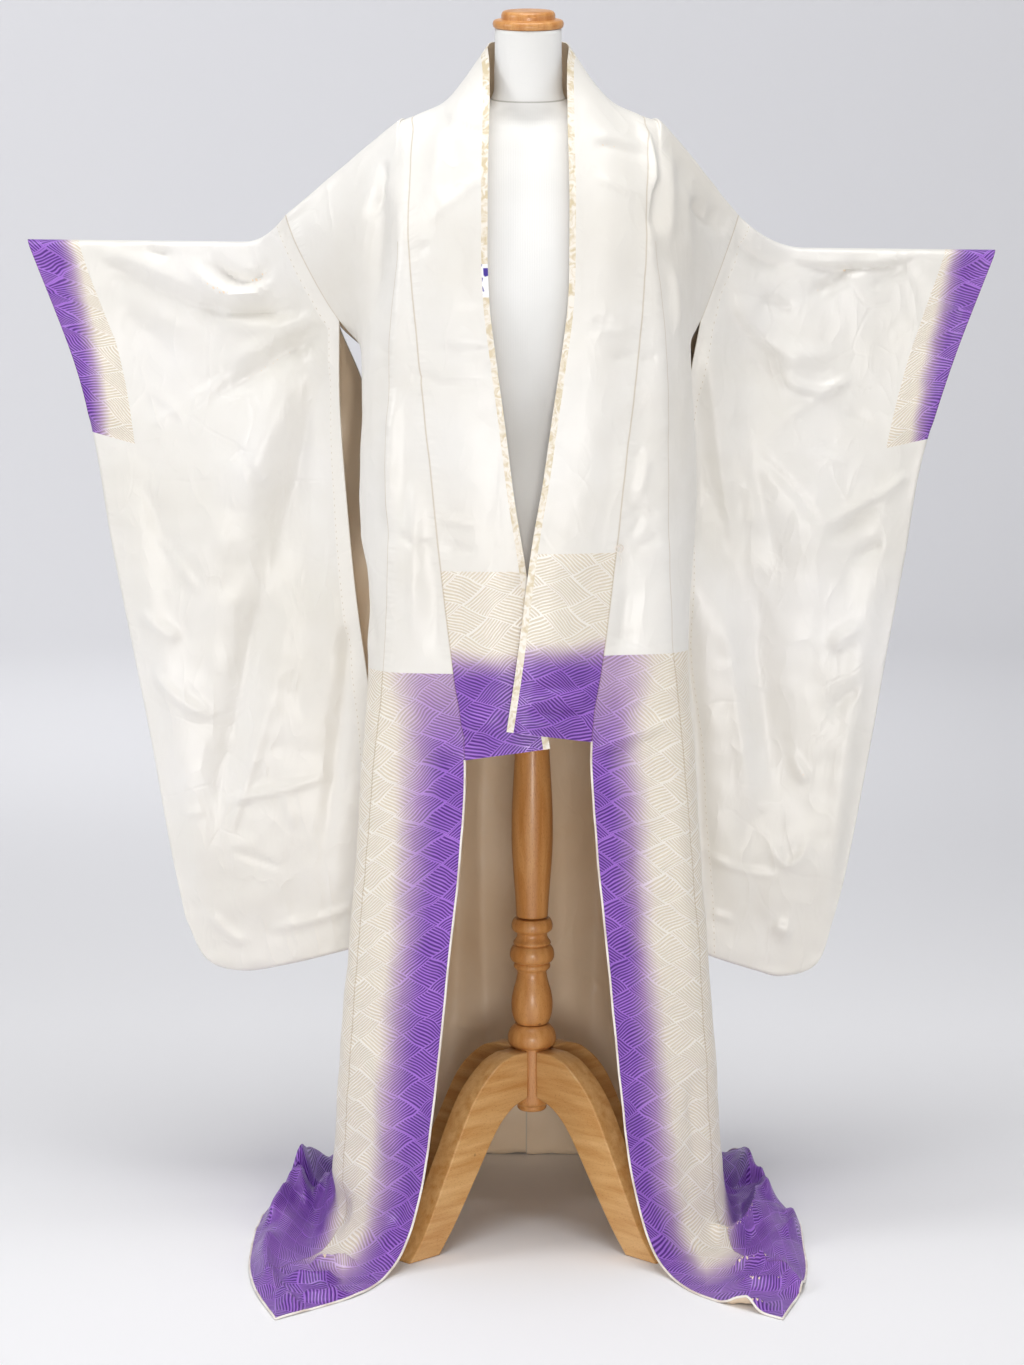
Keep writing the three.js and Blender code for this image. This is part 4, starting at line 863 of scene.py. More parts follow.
# The face cloth: figured silk seen only as a narrow strip at the collar's edge, woven cream on
# gold. On the wearer's right a purple patch of its pattern shows, with a white woven lattice.
PATCH_HEIGHTS = (1.258, 1.300)
PATCH_LATTICE = 0.011
FIGURE_SIZE = 0.012
face_cloths = {}
for side_name in ("right", "left"):
    face_cloths[side_name], tree, shader = material(f"figured_face_silk_{side_name}")
    place = node(tree, "ShaderNodeTexCoord").outputs["Object"]
    blots = node(tree, "ShaderNodeTexNoise", Vector=place, Scale=1 / FIGURE_SIZE, Detail=2.0, Distortion=1.5)
    woven = node(tree, "ShaderNodeValToRGB", {"color_ramp": [(0.36, "#D9CAA9"), (0.60, "#F3EDE2")]},
                 Fac=blots)
    colour = woven.outputs[0]
    if side_name == "right":
        height = node(tree, "ShaderNodeSeparateXYZ", Vector=place).outputs[2]
        above = node(tree, "ShaderNodeMath", {"operation": "GREATER_THAN"}, i0=height, i1=PATCH_HEIGHTS[0])
        below = node(tree, "ShaderNodeMath", {"operation": "LESS_THAN"}, i0=height, i1=PATCH_HEIGHTS[1])
        patch = node(tree, "ShaderNodeMath", {"operation": "MULTIPLY"}, i0=above, i1=below)
        lattice = node(tree, "ShaderNodeTexVoronoi", {"feature": "DISTANCE_TO_EDGE"}, Vector=place,
                       Scale=1 / PATCH_LATTICE, Randomness=0.6)
        netting = node(tree, "ShaderNodeValToRGB", {"color_ramp": [(0.10, "#FFFFFF"), (0.18, "#3A1F96")]},
                       Fac=lattice)
        patched = node(tree, "ShaderNodeMix", {"data_type": "RGBA"}, i0=patch, i6=colour, i7=netting)
        colour = patched.outputs[2]
    tree.links.new(colour, shader.inputs["Base Color"])
    relief = node(tree, "ShaderNodeBump", Strength=0.4, Distance=0.0008, Height=blots)
    tree.links.new(relief.outputs[0], shader.inputs["Normal"])
    shader.inputs["Roughness"].default_value = 0.38

# The body panels: front, okumi and back of each side, cut from the narrow width of the bolt and
# sewn edge to edge, plain lining above and figured hem lining below.
BODY_STEPS = {0: 24, 1: 20, 2: 46}
body_columns = np.concatenate([np.linspace(c, c + 1, n + 1)[:-1] for c, n in BODY_STEPS.items()] + [[3.0]])


def row_samples():
    """Row places about a cell apart on the cloth, with each whole row among them."""
    whole = np.arange(-LAST_ROW, LAST_ROW + 1, dtype=float)
    lines = column_lines(1, whole)
    gaps = np.linalg.norm(np.diff(lines, axis=0), axis=-1).max(axis=1)
    steps = [max(2, round(gap / CELL)) for gap in gaps]
    parts = [np.linspace(whole[k], whole[k + 1], steps[k] + 1)[:-1] for k in range(len(gaps))]
    return np.concatenate(parts + [[float(LAST_ROW)]])


body_rows = row_samples()
# Each fold has its start, middle and end across and up the cloth, then its width and height.
FRONT_FOLDS = [
    (-192, 1435, -199, 1392, -214, 1353, 6, -6), (-194, 1402, -199, 1324, -211, 1200, 12, -5),
    (-174, 1427, -169, 1300, -177, 1137, 16, 4), (-120, 1483, -120, 1422, -125, 1348, 14, 4),
    (-103, 1486, -105, 1422, -115, 1373, 12, -4), (-56, 1414, -95, 1387, -135, 1348, 5, 2.5),
    (-120, 1194, -85, 1187, -48, 1195, 4, -2), (-140, 1152, -95, 1147, -51, 1152, 4, -2),
    (-95, 1486, -83, 1468, -56, 1472, 5, -2.5), (-145, 1471, -125, 1478, -100, 1486, 10, -4),
    (-154, 1311, -142, 1319, -132, 1324, 4, -2), (-174, 1148, -182, 1047, -187, 945, 10, 5),
    (-164, 1148, -168, 1047, -164, 945, 10, -3), (-147, 1040, -151, 920, -154, 800, 12, 5),
    (-123, 930, -125, 850, -123, 785, 10, -3), (-182, 960, -154, 945, -121, 940, 4, -2.5),
    (-225, 945, -218, 869, -202, 793, 8, -5), (-118, 971, -98, 973, -68, 965, 5, 2.5),
    (-118, 938, -95, 938, -68, 933, 4, -2.5), (-126, 668, -105, 674, -86, 658, 5, 3),
    (-96, 706, -74, 714, -50, 708, 7, 4), (-100, 688, -74, 692, -50, 688, 6, -3),
    (-102, 1236, -80, 1240, -56, 1240, 4, -1.5), (-124, 1198, -84, 1204, -50, 1196, 4, 1.5),
    (-160, 1158, -140, 1156, -118, 1152, 4, -1.5), (-60, 1172, -50, 1172, -38, 1170, 4, -1.5),
    (-150, 700, -170, 480, -180, 280, 12, 3), (-112, 560, -122, 400, -130, 240, 10, -3),
    (-205, 300, -196, 200, -190, 100, 10, 4), (-170, 150, -168, 90, -190, 30, 12, -4),
    (75, 1450, 105, 1447, 147, 1432, 5, -3), (78, 1460, 108, 1458, 150, 1443, 6, 3),
    (75, 1412, 105, 1400, 142, 1383, 5, 2.5), (129, 1483, 150, 1440, 149, 1348, 6, 5),
    (159, 1410, 156, 1373, 161, 1333, 10, -5), (174, 1446, 176, 1392, 174, 1309, 8, 4),
    (176, 1304, 184, 1250, 186, 1200, 6, 4), (193, 1412, 198, 1348, 203, 1275, 12, 4),
    (203, 1385, 223, 1360, 258, 1338, 8, -5), (233, 1375, 248, 1348, 258, 1341, 8, -5),
    (100, 1179, 117, 1183, 134, 1184, 4, -2), (137, 1178, 150, 1180, 161, 1180, 4, -2.5),
    (75, 1228, 88, 1230, 100, 1229, 4, -1.5), (126, 1052, 135, 1058, 144, 1062, 4, -1.5),
    (147, 1064, 140, 1030, 132, 996, 8, 3), (121, 981, 144, 986, 164, 976, 5, -2.5),
    (119, 950, 134, 966, 140, 983, 5, -2), (124, 935, 149, 945, 166, 953, 4, -2),
    (102, 819, 119, 822, 134, 829, 4, -1.5), (124, 895, 119, 844, 115, 793, 12, -4),
    (60, 1224, 85, 1226, 112, 1220, 4, -1.5), (68, 1212, 98, 1216, 130, 1210, 4, 1.5),
    (-10, 744, 35, 748, 85, 744, 8, 4), (-15, 713, 35, 714, 80, 710, 8, 4),
    (-5, 763, 40, 762, 88, 764, 6, -4), (-5, 728, 35, 729, 85, 727, 6, -4),
    (79, 677, 120, 691, 188, 716, 4, 3), (82, 668, 122, 681, 190, 706, 6, -3),
    (180, 660, 196, 480, 210, 300, 14, 4), (130, 600, 142, 440, 150, 260, 12, -4),
    (216, 250, 214, 170, 222, 90, 10, -4), (180, 190, 184, 110, 200, 40, 12, 4),
]
BACK_FOLDS = [
    (-118, 1400, -108, 1150, -112, 900, 22, 6), (-60, 1480, -48, 1300, -56, 1080, 18, -5),
    (40, 1460, 52, 1250, 44, 1020, 20, 6), (118, 1380, 108, 1180, 120, 940, 20, -6),
    (-170, 1280, -182, 1100, -168, 880, 14, 5), (180, 1250, 190, 1080, 176, 860, 16, 5),
    (-96, 1020, -20, 990, 60, 1030, 9, 2.5), (-110, 860, -96, 480, -118, 60, 18, 9),
    (-60, 780, -74, 460, -56, 70, 14, -8), (-20, 860, -6, 520, -28, 40, 16, 8),
    (30, 800, 22, 440, 36, 60, 16, -8), (80, 880, 92, 500, 78, 50, 18, 9),
    (130, 780, 120, 420, 138, 70, 14, -7), (-40, 330, 0, 300, 50, 350, 6, 2.5),
    (60, 300, 96, 262, 140, 250, 6, 3), (50, 170, 92, 130, 140, 120, 7, 3),
    (-120, 220, -80, 200, -40, 228, 6, -2.5), (-20, 130, 30, 112, 70, 140, 8, 3),
]
# Where the cloth lies on the floor its folds are placed by x and y.
TRAIN_FOLDS = [
    (-289, 251, -321, 125, -294, -32, 12, 14), (-272, 171, -289, 100, -296, 12, 9, 10),
    (-262, 30, -262, -56, -236, -124, 14, -10), (-296, -200, -262, -196, -229, -186, 9, 8),
    (-327, 56, -345, -10, -353, -75, 9, 9), (-345, -103, -350, -200, -324, -342, 11, 9),
    (-325, -310, -312, -340, -296, -384, 9, 7), (-250, -246, -280, -270, -330, -250, 9, 7),
    (-230, -300, -270, -330, -300, -320, 8, 6), (-208, -236, -236, -262, -262, -320, 9, -6),
    (-310, 180, -330, 90, -338, 20, 8, 7), (-264, 240, -250, 150, -262, 60, 10, 9),
    (273, 312, 302, 210, 306, 83, 11, 14), (306, 83, 300, -30, 267, -99, 11, 13),
    (285, -60, 262, -110, 231, -119, 9, 9), (262, -10, 262, 90, 285, 190, 14, -9),
    (320, 150, 322, 70, 325, -4, 8, 9), (343, 5, 354, -58, 330, -125, 9, 9),
    (253, -223, 284, -206, 314, -184, 8, 8), (312, -184, 328, -250, 347, -317, 10, 8),
    (231, -323, 264, -368, 303, -353, 9, 7), (216, -178, 236, -300, 255, -371, 9, -6),
    (262, -262, 290, -280, 330, -262, 8, 6), (250, 240, 244, 150, 262, 60, 9, 8),
    (-120, 350, -60, 372, 20, 352, 14, 8), (40, 390, 100, 360, 170, 372, 12, 8),
    (-220, 270, -180, 330, -120, 360, 12, 7), (180, 340, 232, 300, 262, 240, 12, 8),
]
Cut = namedtuple("Cut", "width length area")
FLOOR_BLEND = (90, 30)
CRUSH_BLEND = (-150, 60)
TRAIN_GAIN = 1.7
Uneven = namedtuple("Uneven", "size height")
CRUSH = Uneven(34, 4)
SWELL = Uneven(55, 1.5)
DIMPLE = Uneven(24, 0.7)


def unevenness(grid, swell, dimple, swell_seed, dimple_seed):
    """The soft swells and the dimples of hung cloth, in millimetres."""
    swells = crumpled(grid, swell.size, swell_seed) * swell.height
    return swells + crumpled(grid, dimple.size, dimple_seed) * dimple.height


body = {}
for side_name, side in SIDES.items():
    grid = body_surface(side, body_columns, body_rows)
    front = smooth(0, 1, body_rows)[:, None]
    rear = smooth(0, -1, body_rows)[:, None]
    side_fade = smooth(3, 2.85, body_columns)[None]
    relief = fold_height(grid[..., 0], grid[..., 2], FRONT_FOLDS) * front
    relief += fold_height(grid[..., 0], grid[..., 2], BACK_FOLDS) * rear
    on_floor = smooth(*FLOOR_BLEND, grid[..., 2])
    relief += fold_height(grid[..., 0], grid[..., 1], TRAIN_FOLDS) * on_floor * TRAIN_GAIN
    crushed = crumpled(grid, CRUSH.size, 4 * side) * smooth(*CRUSH_BLEND, grid[..., 1]) * CRUSH.height
    relief += crushed * on_floor + unevenness(grid, SWELL, DIMPLE, 3 * side, 9 * side)
    grid = grid + outward_of(grid) * (relief * side_fade)[..., None]
    grid[..., 2] = np.maximum(grid[..., 2], SILK_THICKNESS / 2)
    body[side_name] = grid


def body_piece(part, side_name, cells, materials):
    grid = body[side_name]
    side = SIDES[side_name]
    across = run_lengths(grid, 1)
    used = np.flatnonzero(np.broadcast_to(cells, (len(body_rows) - 1, len(body_columns) - 1)).any(axis=0))
    across = across - across[:, used[:1]]
    to_far = across[:, used[-1:] + 1] - across
    down = run_lengths(grid, 0)[:, BODY_STEPS[0]:BODY_STEPS[0] + 1]
    ridge = down[np.argmin(np.abs(body_rows))]
    above_hem = np.where(body_rows[:, None] >= 0, down[-1] - down, down + down[-1] - 2 * ridge)
    above_hem = np.broadcast_to(above_hem, across.shape)
    maps = {"Cloth": (across, above_hem), "Edges": (to_far, above_hem)}
    normals = grid_normals(grid, -side)
    made = cloth_shell(f"{part}_{side_name}_silk", grid, normals, maps, -side, cells, materials)
    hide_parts(f"{part}_{side_name}")


upper = between(body_rows, 0, HAKKAKE_ROW)[:, None]
yoke = between(body_rows, 0, OKUMI_ROW)[:, None]
hem_part = between(body_rows, HAKKAKE_ROW, LAST_ROW)[:, None]
okumi_strip = between(body_columns, 0, 1)[None]
everywhere = np.ones((1, len(body_columns) - 1), bool)
for side_name in SIDES:
    plain = [lining_silk, inner_silk]
    for part, cells, finish, slot in [
        ("front_lining", upper & (yoke | ~okumi_strip), plain, "plain_silk"),
        ("okumi_lining", upper & ~yoke & okumi_strip, plain, "plain_silk"),
        ("back_lining", between(body_rows, -HAKKAKE_ROW, 0)[:, None] & everywhere, plain, "plain_silk"),
        ("front_hakkake", hem_part & ~okumi_strip, [front_damask, inner_silk], "bokashi_damask"),
        ("okumi_hakkake", hem_part & okumi_strip, [okumi_damask[side_name], inner_silk], "bokashi_damask"),
        ("back_hakkake", between(body_rows, -LAST_ROW, -HAKKAKE_ROW)[:, None] & everywhere,
         [back_damask, inner_silk], "bokashi_damask"),
    ]:
        body_piece(part, side_name, cells, finish)

# The piped edge: at the hem and the free front edges the face cloth is rolled round to the
# lining side over a thin core, which leaves a pale cord. A thread of tacking is left on one seam.
PIPING_RADIUS = 1.5
THREAD_RADIUS = 0.6
piping_crepe, tree, shader = material("white_crepe_piping")
place = node(tree, "ShaderNodeTexCoord").outputs["Object"]
worn = node(tree, "ShaderNodeTexNoise", Vector=place, Scale=1 / 0.03, Detail=3.0)
tone = node(tree, "ShaderNodeValToRGB", {"color_ramp": [(0.35, "#DDD0C4"), (0.6, "#F7F2EA")]}, Fac=worn)
tree.links.new(tone.outputs[0], shader.inputs["Base Color"])
twist = node(tree, "ShaderNodeTexNoise", Vector=place, Scale=1 / 0.0015, Detail=1.0)
relief = node(tree, "ShaderNodeBump", Strength=0.2, Distance=0.0004, Height=twist)
tree.links.new(relief.outputs[0], shader.inputs["Normal"])
shader.inputs["Roughness"].default_value = 0.55
shader.inputs["Sheen Weight"].default_value = 0.2


def round_cord(name, line, radius, sides=8):
    """A round cord along a line of points in millimetres about the pole, with closed ends."""
    line = np.array(line, float)
    run = np.gradient(line, axis=0)
    run /= np.linalg.norm(run, axis=1, keepdims=True)
    right = np.cross(run, (0.31, 0.90, 0.30))
    right /= np.linalg.norm(right, axis=1, keepdims=True)
    above = np.cross(right, run)
    turns = np.linspace(0, 2 * math.pi, sides, endpoint=False)[None, :, None]
    rings = line[:, None] + radius * (np.cos(turns) * right[:, None] + np.sin(turns) * above[:, None])
    rings[..., 2] = np.maximum(rings[..., 2], 0)
    last = (len(line) - 1) * sides
    faces = [tuple(range(sides)), tuple(range(last + sides - 1, last - 1, -1))]
    for j in range(len(line) - 1):
        for k in range(sides):
            ring = j * sides
            after = (k + 1) % sides
            faces.append((ring + k, ring + sides + k, ring + sides + after, ring + after))
    made = mesh_object(name, rings.reshape(-1, 3) * MM + np.array(POLE), faces, [piping_crepe])
    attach(made, "root")


for side_name in SIDES:
    grid = body[side_name]
    open_rows = body_rows >= COLLAR_END_ROW
    outline = np.concatenate([grid[open_rows, 0], grid[-1, 1:]])
    round_cord(f"piped_front_edge_{side_name}", outline + (0, 0, PIPING_RADIUS / 2), PIPING_RADIUS)
    round_cord(f"piped_back_hem_{side_name}", grid[0] + (0, 0, PIPING_RADIUS / 2), PIPING_RADIUS)

TACKING = [
    (0, 0), (3, 4), (7, 3), (8, -2), (4, -6), (-1, -4), (-2, 1), (2, 3), (5, -1), (3, -8), (6, -15), (5, -22),
]
TACKING_PLACE = (109, 938)
front_points = body["left"][body_rows > 0].reshape(-1, 3)
nearest = front_points[np.argmin(np.hypot(*(front_points[:, (0, 2)] - TACKING_PLACE).T))]
knots = catmull(np.array([(x, -2.4, z) for x, z in TACKING], float), np.linspace(0, len(TACKING) - 1, 60))
round_cord("tacking_thread", nearest + knots, THREAD_RADIUS, sides=6)

# The collar: one long band folded lengthwise and sewn round the neck and down both fronts, its
# lining outward, a strip of the face cloth at its free edge, and figured silk at each end.
COLLAR_STEPS = 20
FACE_STRIP = 0.08
collar_across = np.concatenate([[0, FACE_STRIP / 2], np.linspace(FACE_STRIP, 1, COLLAR_STEPS)])
collar_rows = body_rows[(body_rows >= -NAPE_ROW) & (body_rows <= COLLAR_END_ROW)]
for side_name, side in SIDES.items():
    grid = collar_surface(side, collar_across, collar_rows)
    front = smooth(0, 1, collar_rows)[:, None]
    relief = fold_height(grid[..., 0], grid[..., 2], FRONT_FOLDS) * front
    relief += unevenness(grid, SWELL, DIMPLE, 3 * side, 9 * side)
    relief *= smooth(-NAPE_ROW, -NAPE_ROW + 1, collar_rows)[:, None]
    grid = grid + outward_of(grid) * relief[..., None]
    from_edge = run_lengths(grid, 1)
    down = run_lengths(grid, 0)[:, COLLAR_STEPS // 2][:, None]
    above_end = np.broadcast_to(down[-1:] - down, from_edge.shape)
    maps = {"Cloth": (from_edge, above_end), "Edges": (from_edge[:, -1:] - from_edge, above_end)}
    band = between(collar_across, FACE_STRIP, 1)[None]
    for part, cells, finish, replaced, slot in [
        ("lining", between(collar_rows, 0, COLLAR_SEAM_ROW)[:, None] & band, [lining_silk, inner_silk],
         f"collar_lining_{side_name}", "plain_silk"),
        ("nape", between(collar_rows, -NAPE_ROW, 0)[:, None] & band, [lining_silk, inner_silk],
         "collar_lining_back", "plain_silk"),
        ("end", between(collar_rows, COLLAR_SEAM_ROW, COLLAR_END_ROW)[:, None] & band,
         [collar_damask, inner_silk], f"collar_end_{side_name}", "bokashi_damask"),
        ("face", between(collar_rows, -NAPE_ROW, COLLAR_END_ROW)[:, None] & ~band,
         [face_cloths[side_name], inner_silk], f"collar_face_{side_name}", "face_cloth"),
    ]:
        normals = grid_normals(grid, -side)
        made = cloth_shell(f"collar_{part}_{side_name}_silk", grid, normals, maps, -side, cells, finish)
        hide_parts(replaced)

# The sleeves: each one length of lining folded over the rod into a bag, sewn down the outer edge
# below the cuff, along the rounded bottom, and open down the inner edge below the armhole.
SEAM_SHARE = 0.14
CUFF_SHARE = 0.285
CUFF_WIDTH = 0.82
FURI_SPREAD = 66
ROD_TOP = 1319.8
ROD_SLOPE = -0.0108
FOLD_RADIUS = 5.5
ROD_FOLD = 11
BILLOW = 15
CUFF_GAPE = 5
BACK_REACH = (34, 34, 30, 20, 8, 0, 0, 0)
SLEEVE_DEPTH = 1000
SLEEVE_WIDTH = 350
SLEEVES = {
    "right": {
        "cuff": (-677, 120), "rod_start": -385,
        "furi": [(-257, 70, 1115), (-249, 80, 980), (-237, 88, 844), (-223, 98, 734), (-214, 104, 651),
                 (-213, 108, 567), (-217, 112, 427), (-221, 114, 363)],
        "outer": [(-612, 116, 1150), (-590, 114, 1050), (-571, 112, 924), (-546, 112, 787), (-521, 112, 650),
                  (-496, 112, 497), (-477, 112, 400)],
        "bottom": [(-262, 114, 352), (-340, 114, 333), (-402, 113, 325), (-447, 112, 340)],
    },
    "left": {
        "cuff": (622, 120), "rod_start": 365,
        "furi": [(206, 72, 1115), (202, 84, 980), (201, 92, 844), (204, 98, 760), (216, 104, 651),
                 (225, 108, 498), (230, 112, 420), (232, 114, 351)],
        "outer": [(563, 116, 1153), (526, 114, 1024), (506, 112, 897), (485, 112, 775), (465, 112, 650),
                  (430, 112, 455), (416, 112, 400)],
        "bottom": [(262, 114, 340), (310, 114, 325), (343, 113, 317), (392, 112, 333)],
    },
}
# Wide soft folds are placed by shares of the sleeve's width and length, the rest in millimetres.
SleeveFold = namedtuple("SleeveFold", "across down to_across to_down width height")
WIDE_FOLDS = [
    SleeveFold(0.1, 0.12, 0.95, 0.2, 0.07, -8), SleeveFold(0.04, 0.16, 0.72, 0.46, 0.07, 9),
    SleeveFold(0.06, 0.22, 0.55, 0.78, 0.09, -8), SleeveFold(0.88, 0.36, 0.72, 0.92, 0.09, 7),
    SleeveFold(0.14, 0.4, 0.2, 0.95, 0.1, 6),
]
SLEEVE_FOLDS = {
    "right": [
        (-473, 1312, -397, 1254, -327, 1305, 12, 9), (-441, 1312, -384, 1270, -343, 1305, 9, -9),
        (-447, 1254, -397, 1228, -293, 1241, 9, -7), (-432, 1241, -365, 1212, -274, 1235, 12, 5),
        (-577, 1299, -504, 1264, -378, 1209, 12, -4), (-586, 1315, -504, 1286, -428, 1248, 14, 4),
        (-523, 1325, -504, 1312, -479, 1309, 6, -5), (-277, 1222, -334, 1203, -435, 1142, 14, 5),
        (-280, 1209, -340, 1168, -460, 1094, 12, -5), (-517, 1132, -490, 1108, -460, 1081, 5, 1.5),
        (-460, 1081, -436, 1116, -410, 1155, 5, 1.5), (-520, 1079, -476, 1100, -403, 1155, 5, 1.5),
        (-466, 1126, -432, 1144, -397, 1164, 5, -1.5), (-274, 1168, -308, 1059, -362, 845, 22, -7),
        (-308, 1193, -350, 1091, -403, 962, 30, 6), (-406, 1065, -381, 1023, -346, 969, 5, -2),
        (-511, 940, -480, 894, -444, 847, 5, 1.8), (-529, 1010, -504, 946, -479, 847, 14, -3),
        (-561, 1225, -517, 1206, -479, 1155, 16, -3), (-360, 898, -396, 716, -439, 517, 20, -6),
        (-317, 898, -353, 716, -389, 589, 26, 5), (-246, 807, -256, 716, -292, 426, 14, -5),
        (-212, 640, -216, 622, -226, 600, 9, 4), (-532, 833, -503, 804, -471, 793, 9, 3),
        (-517, 753, -482, 709, -424, 680, 8, 3.5), (-432, 564, -360, 578, -263, 604, 5, 2.5),
        (-421, 509, -396, 571, -367, 666, 5, 1.8), (-417, 499, -378, 486, -339, 470, 5, -1.8),
        (-367, 386, -303, 397, -231, 422, 6, 2), (-446, 415, -421, 382, -389, 364, 8, 2),
        (-342, 586, -331, 552, -321, 520, 5, 1.5), (-482, 549, -464, 551, -446, 549, 5, 1.5),
    ],
    "left": [
        (336, 1300, 430, 1287, 538, 1308, 5, -4), (336, 1309, 430, 1296, 538, 1314, 8, 3),
        (262, 1342, 299, 1301, 353, 1295, 10, -6), (248, 1318, 282, 1189, 346, 1134, 22, -9),
        (272, 1291, 312, 1189, 433, 1178, 24, 8), (329, 1154, 380, 1128, 437, 1148, 10, 5),
        (299, 1247, 326, 1240, 353, 1230, 7, -4), (353, 1233, 415, 1285, 450, 1291, 9, -4),
        (373, 1254, 406, 1271, 423, 1281, 9, -4), (454, 1264, 474, 1274, 518, 1298, 8, -3),
        (235, 1236, 248, 1072, 282, 867, 16, 6), (214, 1175, 218, 1038, 238, 847, 14, -5),
        (272, 1141, 299, 1004, 353, 847, 20, -5), (258, 1168, 282, 1038, 326, 884, 18, 5),
        (433, 1148, 386, 1117, 299, 1059, 5, 1.8), (285, 1062, 366, 977, 380, 949, 5, -2),
        (504, 1018, 477, 990, 383, 942, 8, 4), (474, 987, 440, 953, 393, 918, 10, -4),
        (477, 915, 457, 912, 433, 891, 8, -4), (413, 1086, 440, 1089, 460, 1072, 10, -2.5),
        (369, 1045, 398, 1036, 427, 1028, 5, 2), (251, 898, 280, 716, 305, 517, 16, 6),
        (309, 898, 312, 716, 337, 535, 24, -5), (205, 898, 214, 680, 230, 390, 16, -8),
        (452, 807, 423, 793, 409, 771, 10, 5), (448, 716, 430, 713, 405, 680, 12, -4),
        (352, 647, 366, 608, 384, 597, 7, 3), (323, 520, 352, 477, 384, 517, 7, 3),
        (230, 502, 277, 473, 352, 459, 5, 2), (330, 392, 345, 385, 362, 380, 9, 3),
        (244, 408, 262, 403, 280, 397, 5, 1.8), (272, 1230, 300, 1190, 346, 1160, 12, -5),
    ],
}
# The back layers take the other side's folds, turned over from left to right.
FLIP = np.array([-1, 1, -1, 1, -1, 1, 1, 1])


def even_spline(points, samples=2000):
    """A centripetal Catmull-Rom spline through points, as places evenly apart along its length."""
    points = np.array(points, float)
    padded = np.concatenate([2 * points[:1] - points[1:2], points, 2 * points[-1:] - points[-2:-1]])
    line = []
    for k in range(len(points) - 1):
        p0, p1, p2, p3 = padded[k:k + 4]
        d0, d1, d2 = (np.linalg.norm(q - p) ** 0.5 for p, q in ((p0, p1), (p1, p2), (p2, p3)))
        m1 = ((p1 - p0) / d0 - (p2 - p0) / (d0 + d1) + (p2 - p1) / d1) * d1
        m2 = ((p2 - p1) / d1 - (p3 - p1) / (d1 + d2) + (p3 - p2) / d2) * d1
        t = np.linspace(0, 1, samples // (len(points) - 1))[:, None]
        line.append(p1 + m1 * t + (3 * (p2 - p1) - 2 * m1 - m2) * t ** 2 + (2 * (p1 - p2) + m1 + m2) * t ** 3)
    return by_length(np.concatenate(line))


def by_length(line):
    """A function that gives the point at each share of a line's length."""
    lengths = np.concatenate([[0], np.cumsum(np.linalg.norm(np.diff(line, axis=0), axis=1))])
    lengths /= lengths[-1]
    return lambda share: np.stack([np.interp(share, lengths, line[:, k]) for k in range(3)], -1)


def layer_offset(across, down):
    """How far a layer stands off the sleeve's middle: round at its closed edges."""
    def rounded(distance, radius):
        return np.sqrt(np.maximum(0, 1 - (1 - np.minimum(distance / radius, 1)) ** 2))
    from_top = rounded(down * SLEEVE_DEPTH, ROD_FOLD)
    from_bottom = rounded((1 - down) * SLEEVE_DEPTH, FOLD_RADIUS)
    opened = 1 - smooth(CUFF_SHARE - 0.03, CUFF_SHARE, down)
    from_outer = np.maximum(opened, rounded((1 - across) * SLEEVE_WIDTH, FOLD_RADIUS))
    near_top = 1 - smooth(0.02, 0.1, down)
    middle = np.sin(np.pi * across) * smooth(0.05, 0.4, down) * smooth(1, 0.8, down)
    gape = CUFF_GAPE * opened * smooth(0.7, 1, across) * (1 - near_top)
    stand = FOLD_RADIUS + (ROD_FOLD - FOLD_RADIUS) * near_top + BILLOW * middle + gape
    return stand * from_top * from_bottom * from_outer


def wide_fold(across, down):
    total = np.zeros(np.broadcast(across, down).shape)
    for fold in WIDE_FOLDS:
        run = np.array([fold.to_across - fold.across, fold.to_down - fold.down])
        along = ((across - fold.across) * run[0] + (down - fold.down) * run[1]) / (run @ run)
        near = np.clip(along, 0, 1)
        away = np.hypot(across - fold.across - near * run[0], down - fold.down - near * run[1])
        fade = smooth(-0.1, 0.3, along) * smooth(1.1, 0.7, along)
        total += fold.height * np.exp(-(away / fold.width) ** 2) * fade
    return total


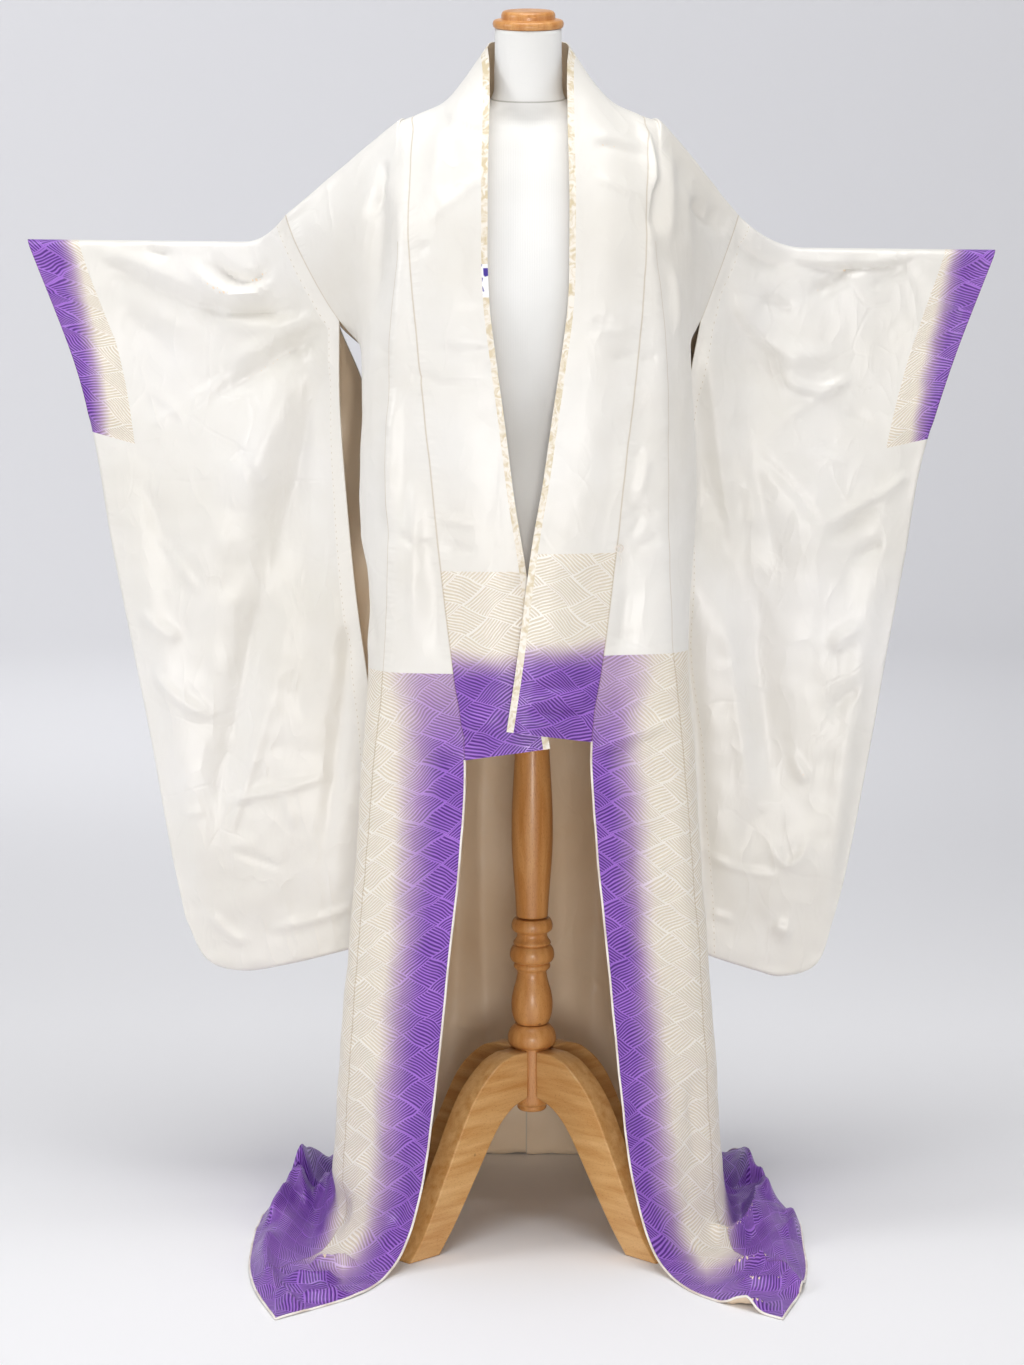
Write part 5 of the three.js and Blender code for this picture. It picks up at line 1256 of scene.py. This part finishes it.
def sleeve_surface(side_name, layer, across, down):
    """Points of one layer, between the inner edge, the fold over the rod, the outer edge and the bottom."""
    table = SLEEVES[side_name]
    side = SIDES[side_name]
    sign = -1 if layer == "front" else 1
    cuff_x, cuff_y = table["cuff"]
    rod_x = table["rod_start"]
    seam_rows = -sign * np.linspace(0, ARMPIT_ROW, 200)
    seam_line = column_lines(side, seam_rows)[:, 3]
    ridge = seam_line[0]
    rod_start = np.array([rod_x, cuff_y, ROD_TOP + ROD_SLOPE * rod_x])
    cuff = np.array([cuff_x, cuff_y, ROD_TOP + ROD_SLOPE * cuff_x])
    bend = np.array([(ridge[0] + rod_x) / 2, cuff_y, rod_start[2] + 1])
    t = np.linspace(0, 1, 600)[:, None]
    top = by_length(np.concatenate([(1 - t) ** 2 * ridge + 2 * t * (1 - t) * bend + t ** 2 * rod_start,
                                    rod_start + (cuff - rod_start) * t]))
    outer = even_spline([cuff] + table["outer"])
    furi = {}
    for which in ("front", "back"):
        at_back = which == "back"
        furi[which] = []
        for k, point in enumerate(table["furi"]):
            spread = FURI_SPREAD * (1 - min(1, (k + 1) / 3)) * at_back
            furi[which].append(np.array(point, float) + (-side * BACK_REACH[k] * at_back, spread, 0))
    low_inner = (furi["front"][-1] + furi["back"][-1]) / 2
    free = even_spline([seam_line[-1]] + furi[layer][:-1] + [low_inner])
    bottom = even_spline([low_inner] + table["bottom"] + [table["outer"][-1]])
    sewn_rows = np.interp(down / SEAM_SHARE, np.linspace(0, 1, 200), np.arange(200))
    sewn = np.stack([np.interp(sewn_rows, np.arange(200), seam_line[:, k]) for k in range(3)], -1)
    unsewn = free(np.clip((down - SEAM_SHARE) / (1 - SEAM_SHARE), 0, 1))
    left = np.where((down <= SEAM_SHARE)[:, None], sewn, unsewn)
    right = outer(down)
    upper = top(across)
    lower = bottom(across)
    a, d = across[None, :, None], down[:, None, None]
    grid = left[:, None] * (1 - a) + right[:, None] * a + upper[None] * (1 - d) + lower[None] * d
    grid = grid - left[0] * (1 - a) * (1 - d) - right[0] * a * (1 - d)
    grid = grid - left[-1] * (1 - a) * d - right[-1] * a * d
    across, down = across[None], down[:, None]
    inside = smooth(0, 0.12, across)
    held = inside + (1 - inside) * smooth(SEAM_SHARE, 0.24, down)
    grid[..., 1] += sign * layer_offset(across, down) * held
    edges = inside * smooth(1, 0.95, across) * smooth(0, 0.08, down) * smooth(1, 0.94, down)
    grid[..., 1] -= wide_fold(across, down) * edges
    return grid


OTHER = {"right": "left", "left": "right"}
SLEEVE_SWELL = Uneven(60, 2.2)
SLEEVE_DIMPLE = Uneven(26, 1.0)
MEASURED_COLUMN = 35
top_round = np.array([0, 0.0004, 0.0015, 0.0032, 0.0055, 0.008, 0.011])
side_round = np.array([0.984, 0.988, 0.992, 0.9955, 0.998, 0.9995, 1])
sleeve_down = np.concatenate([
    top_round[:-1], np.linspace(top_round[-1], CUFF_SHARE, 56)[:-1],
    np.linspace(CUFF_SHARE, 0.9945, 143)[:-1], [0.9945, 0.996, 0.9975, 0.9988, 0.9996, 1]])
sleeve_across = np.concatenate([
    np.linspace(0, CUFF_WIDTH, 58)[:-1], np.linspace(CUFF_WIDTH, 0.984, 13)[:-1], side_round])
for side_name, side in SIDES.items():
    for layer in ("front", "back"):
        sign = -side if layer == "front" else side
        outward = -1 if layer == "front" else 1
        grid = sleeve_surface(side_name, layer, sleeve_across, sleeve_down)
        fade = smooth(0, 0.05, sleeve_across)[None] * smooth(1, 0.97, sleeve_across)[None]
        fade = fade * (smooth(0, 0.03, sleeve_down) * smooth(1, 0.985, sleeve_down))[:, None]
        folds = SLEEVE_FOLDS[side_name]
        if layer == "back":
            folds = np.array(SLEEVE_FOLDS[OTHER[side_name]]) * FLIP
        relief = fold_height(grid[..., 0], grid[..., 2], folds) * SLEEVE_DEPTHS
        relief += unevenness(grid, SLEEVE_SWELL, SLEEVE_DIMPLE, 5 * side + outward, 7 * side + outward)
        grid[..., 1] += outward * relief * fade
        from_inner = run_lengths(grid, 1)
        from_outer = from_inner[:, -1:] - from_inner
        from_top = np.broadcast_to(run_lengths(grid, 0)[:, MEASURED_COLUMN][:, None], from_inner.shape)
        normals = grid_normals(grid, sign)
        maps = {"Cloth": (from_inner, from_top), "Edges": (from_outer, from_top)}
        cuff = between(sleeve_down, 0, CUFF_SHARE)[:, None] & between(sleeve_across, CUFF_WIDTH, 1)[None]
        for part, cells, finish, slot in [
            ("sleeve", ~cuff, [sleeve_silk, inner_silk], "plain_silk"),
            ("cuff_facing", cuff, [cuff_damask, cuff_inside], "bokashi_damask"),
        ]:
            made = cloth_shell(f"{part}_{layer}_{side_name}_silk", grid, normals, maps, sign, cells, finish)
            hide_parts(f"{part}_{layer}_{side_name}")
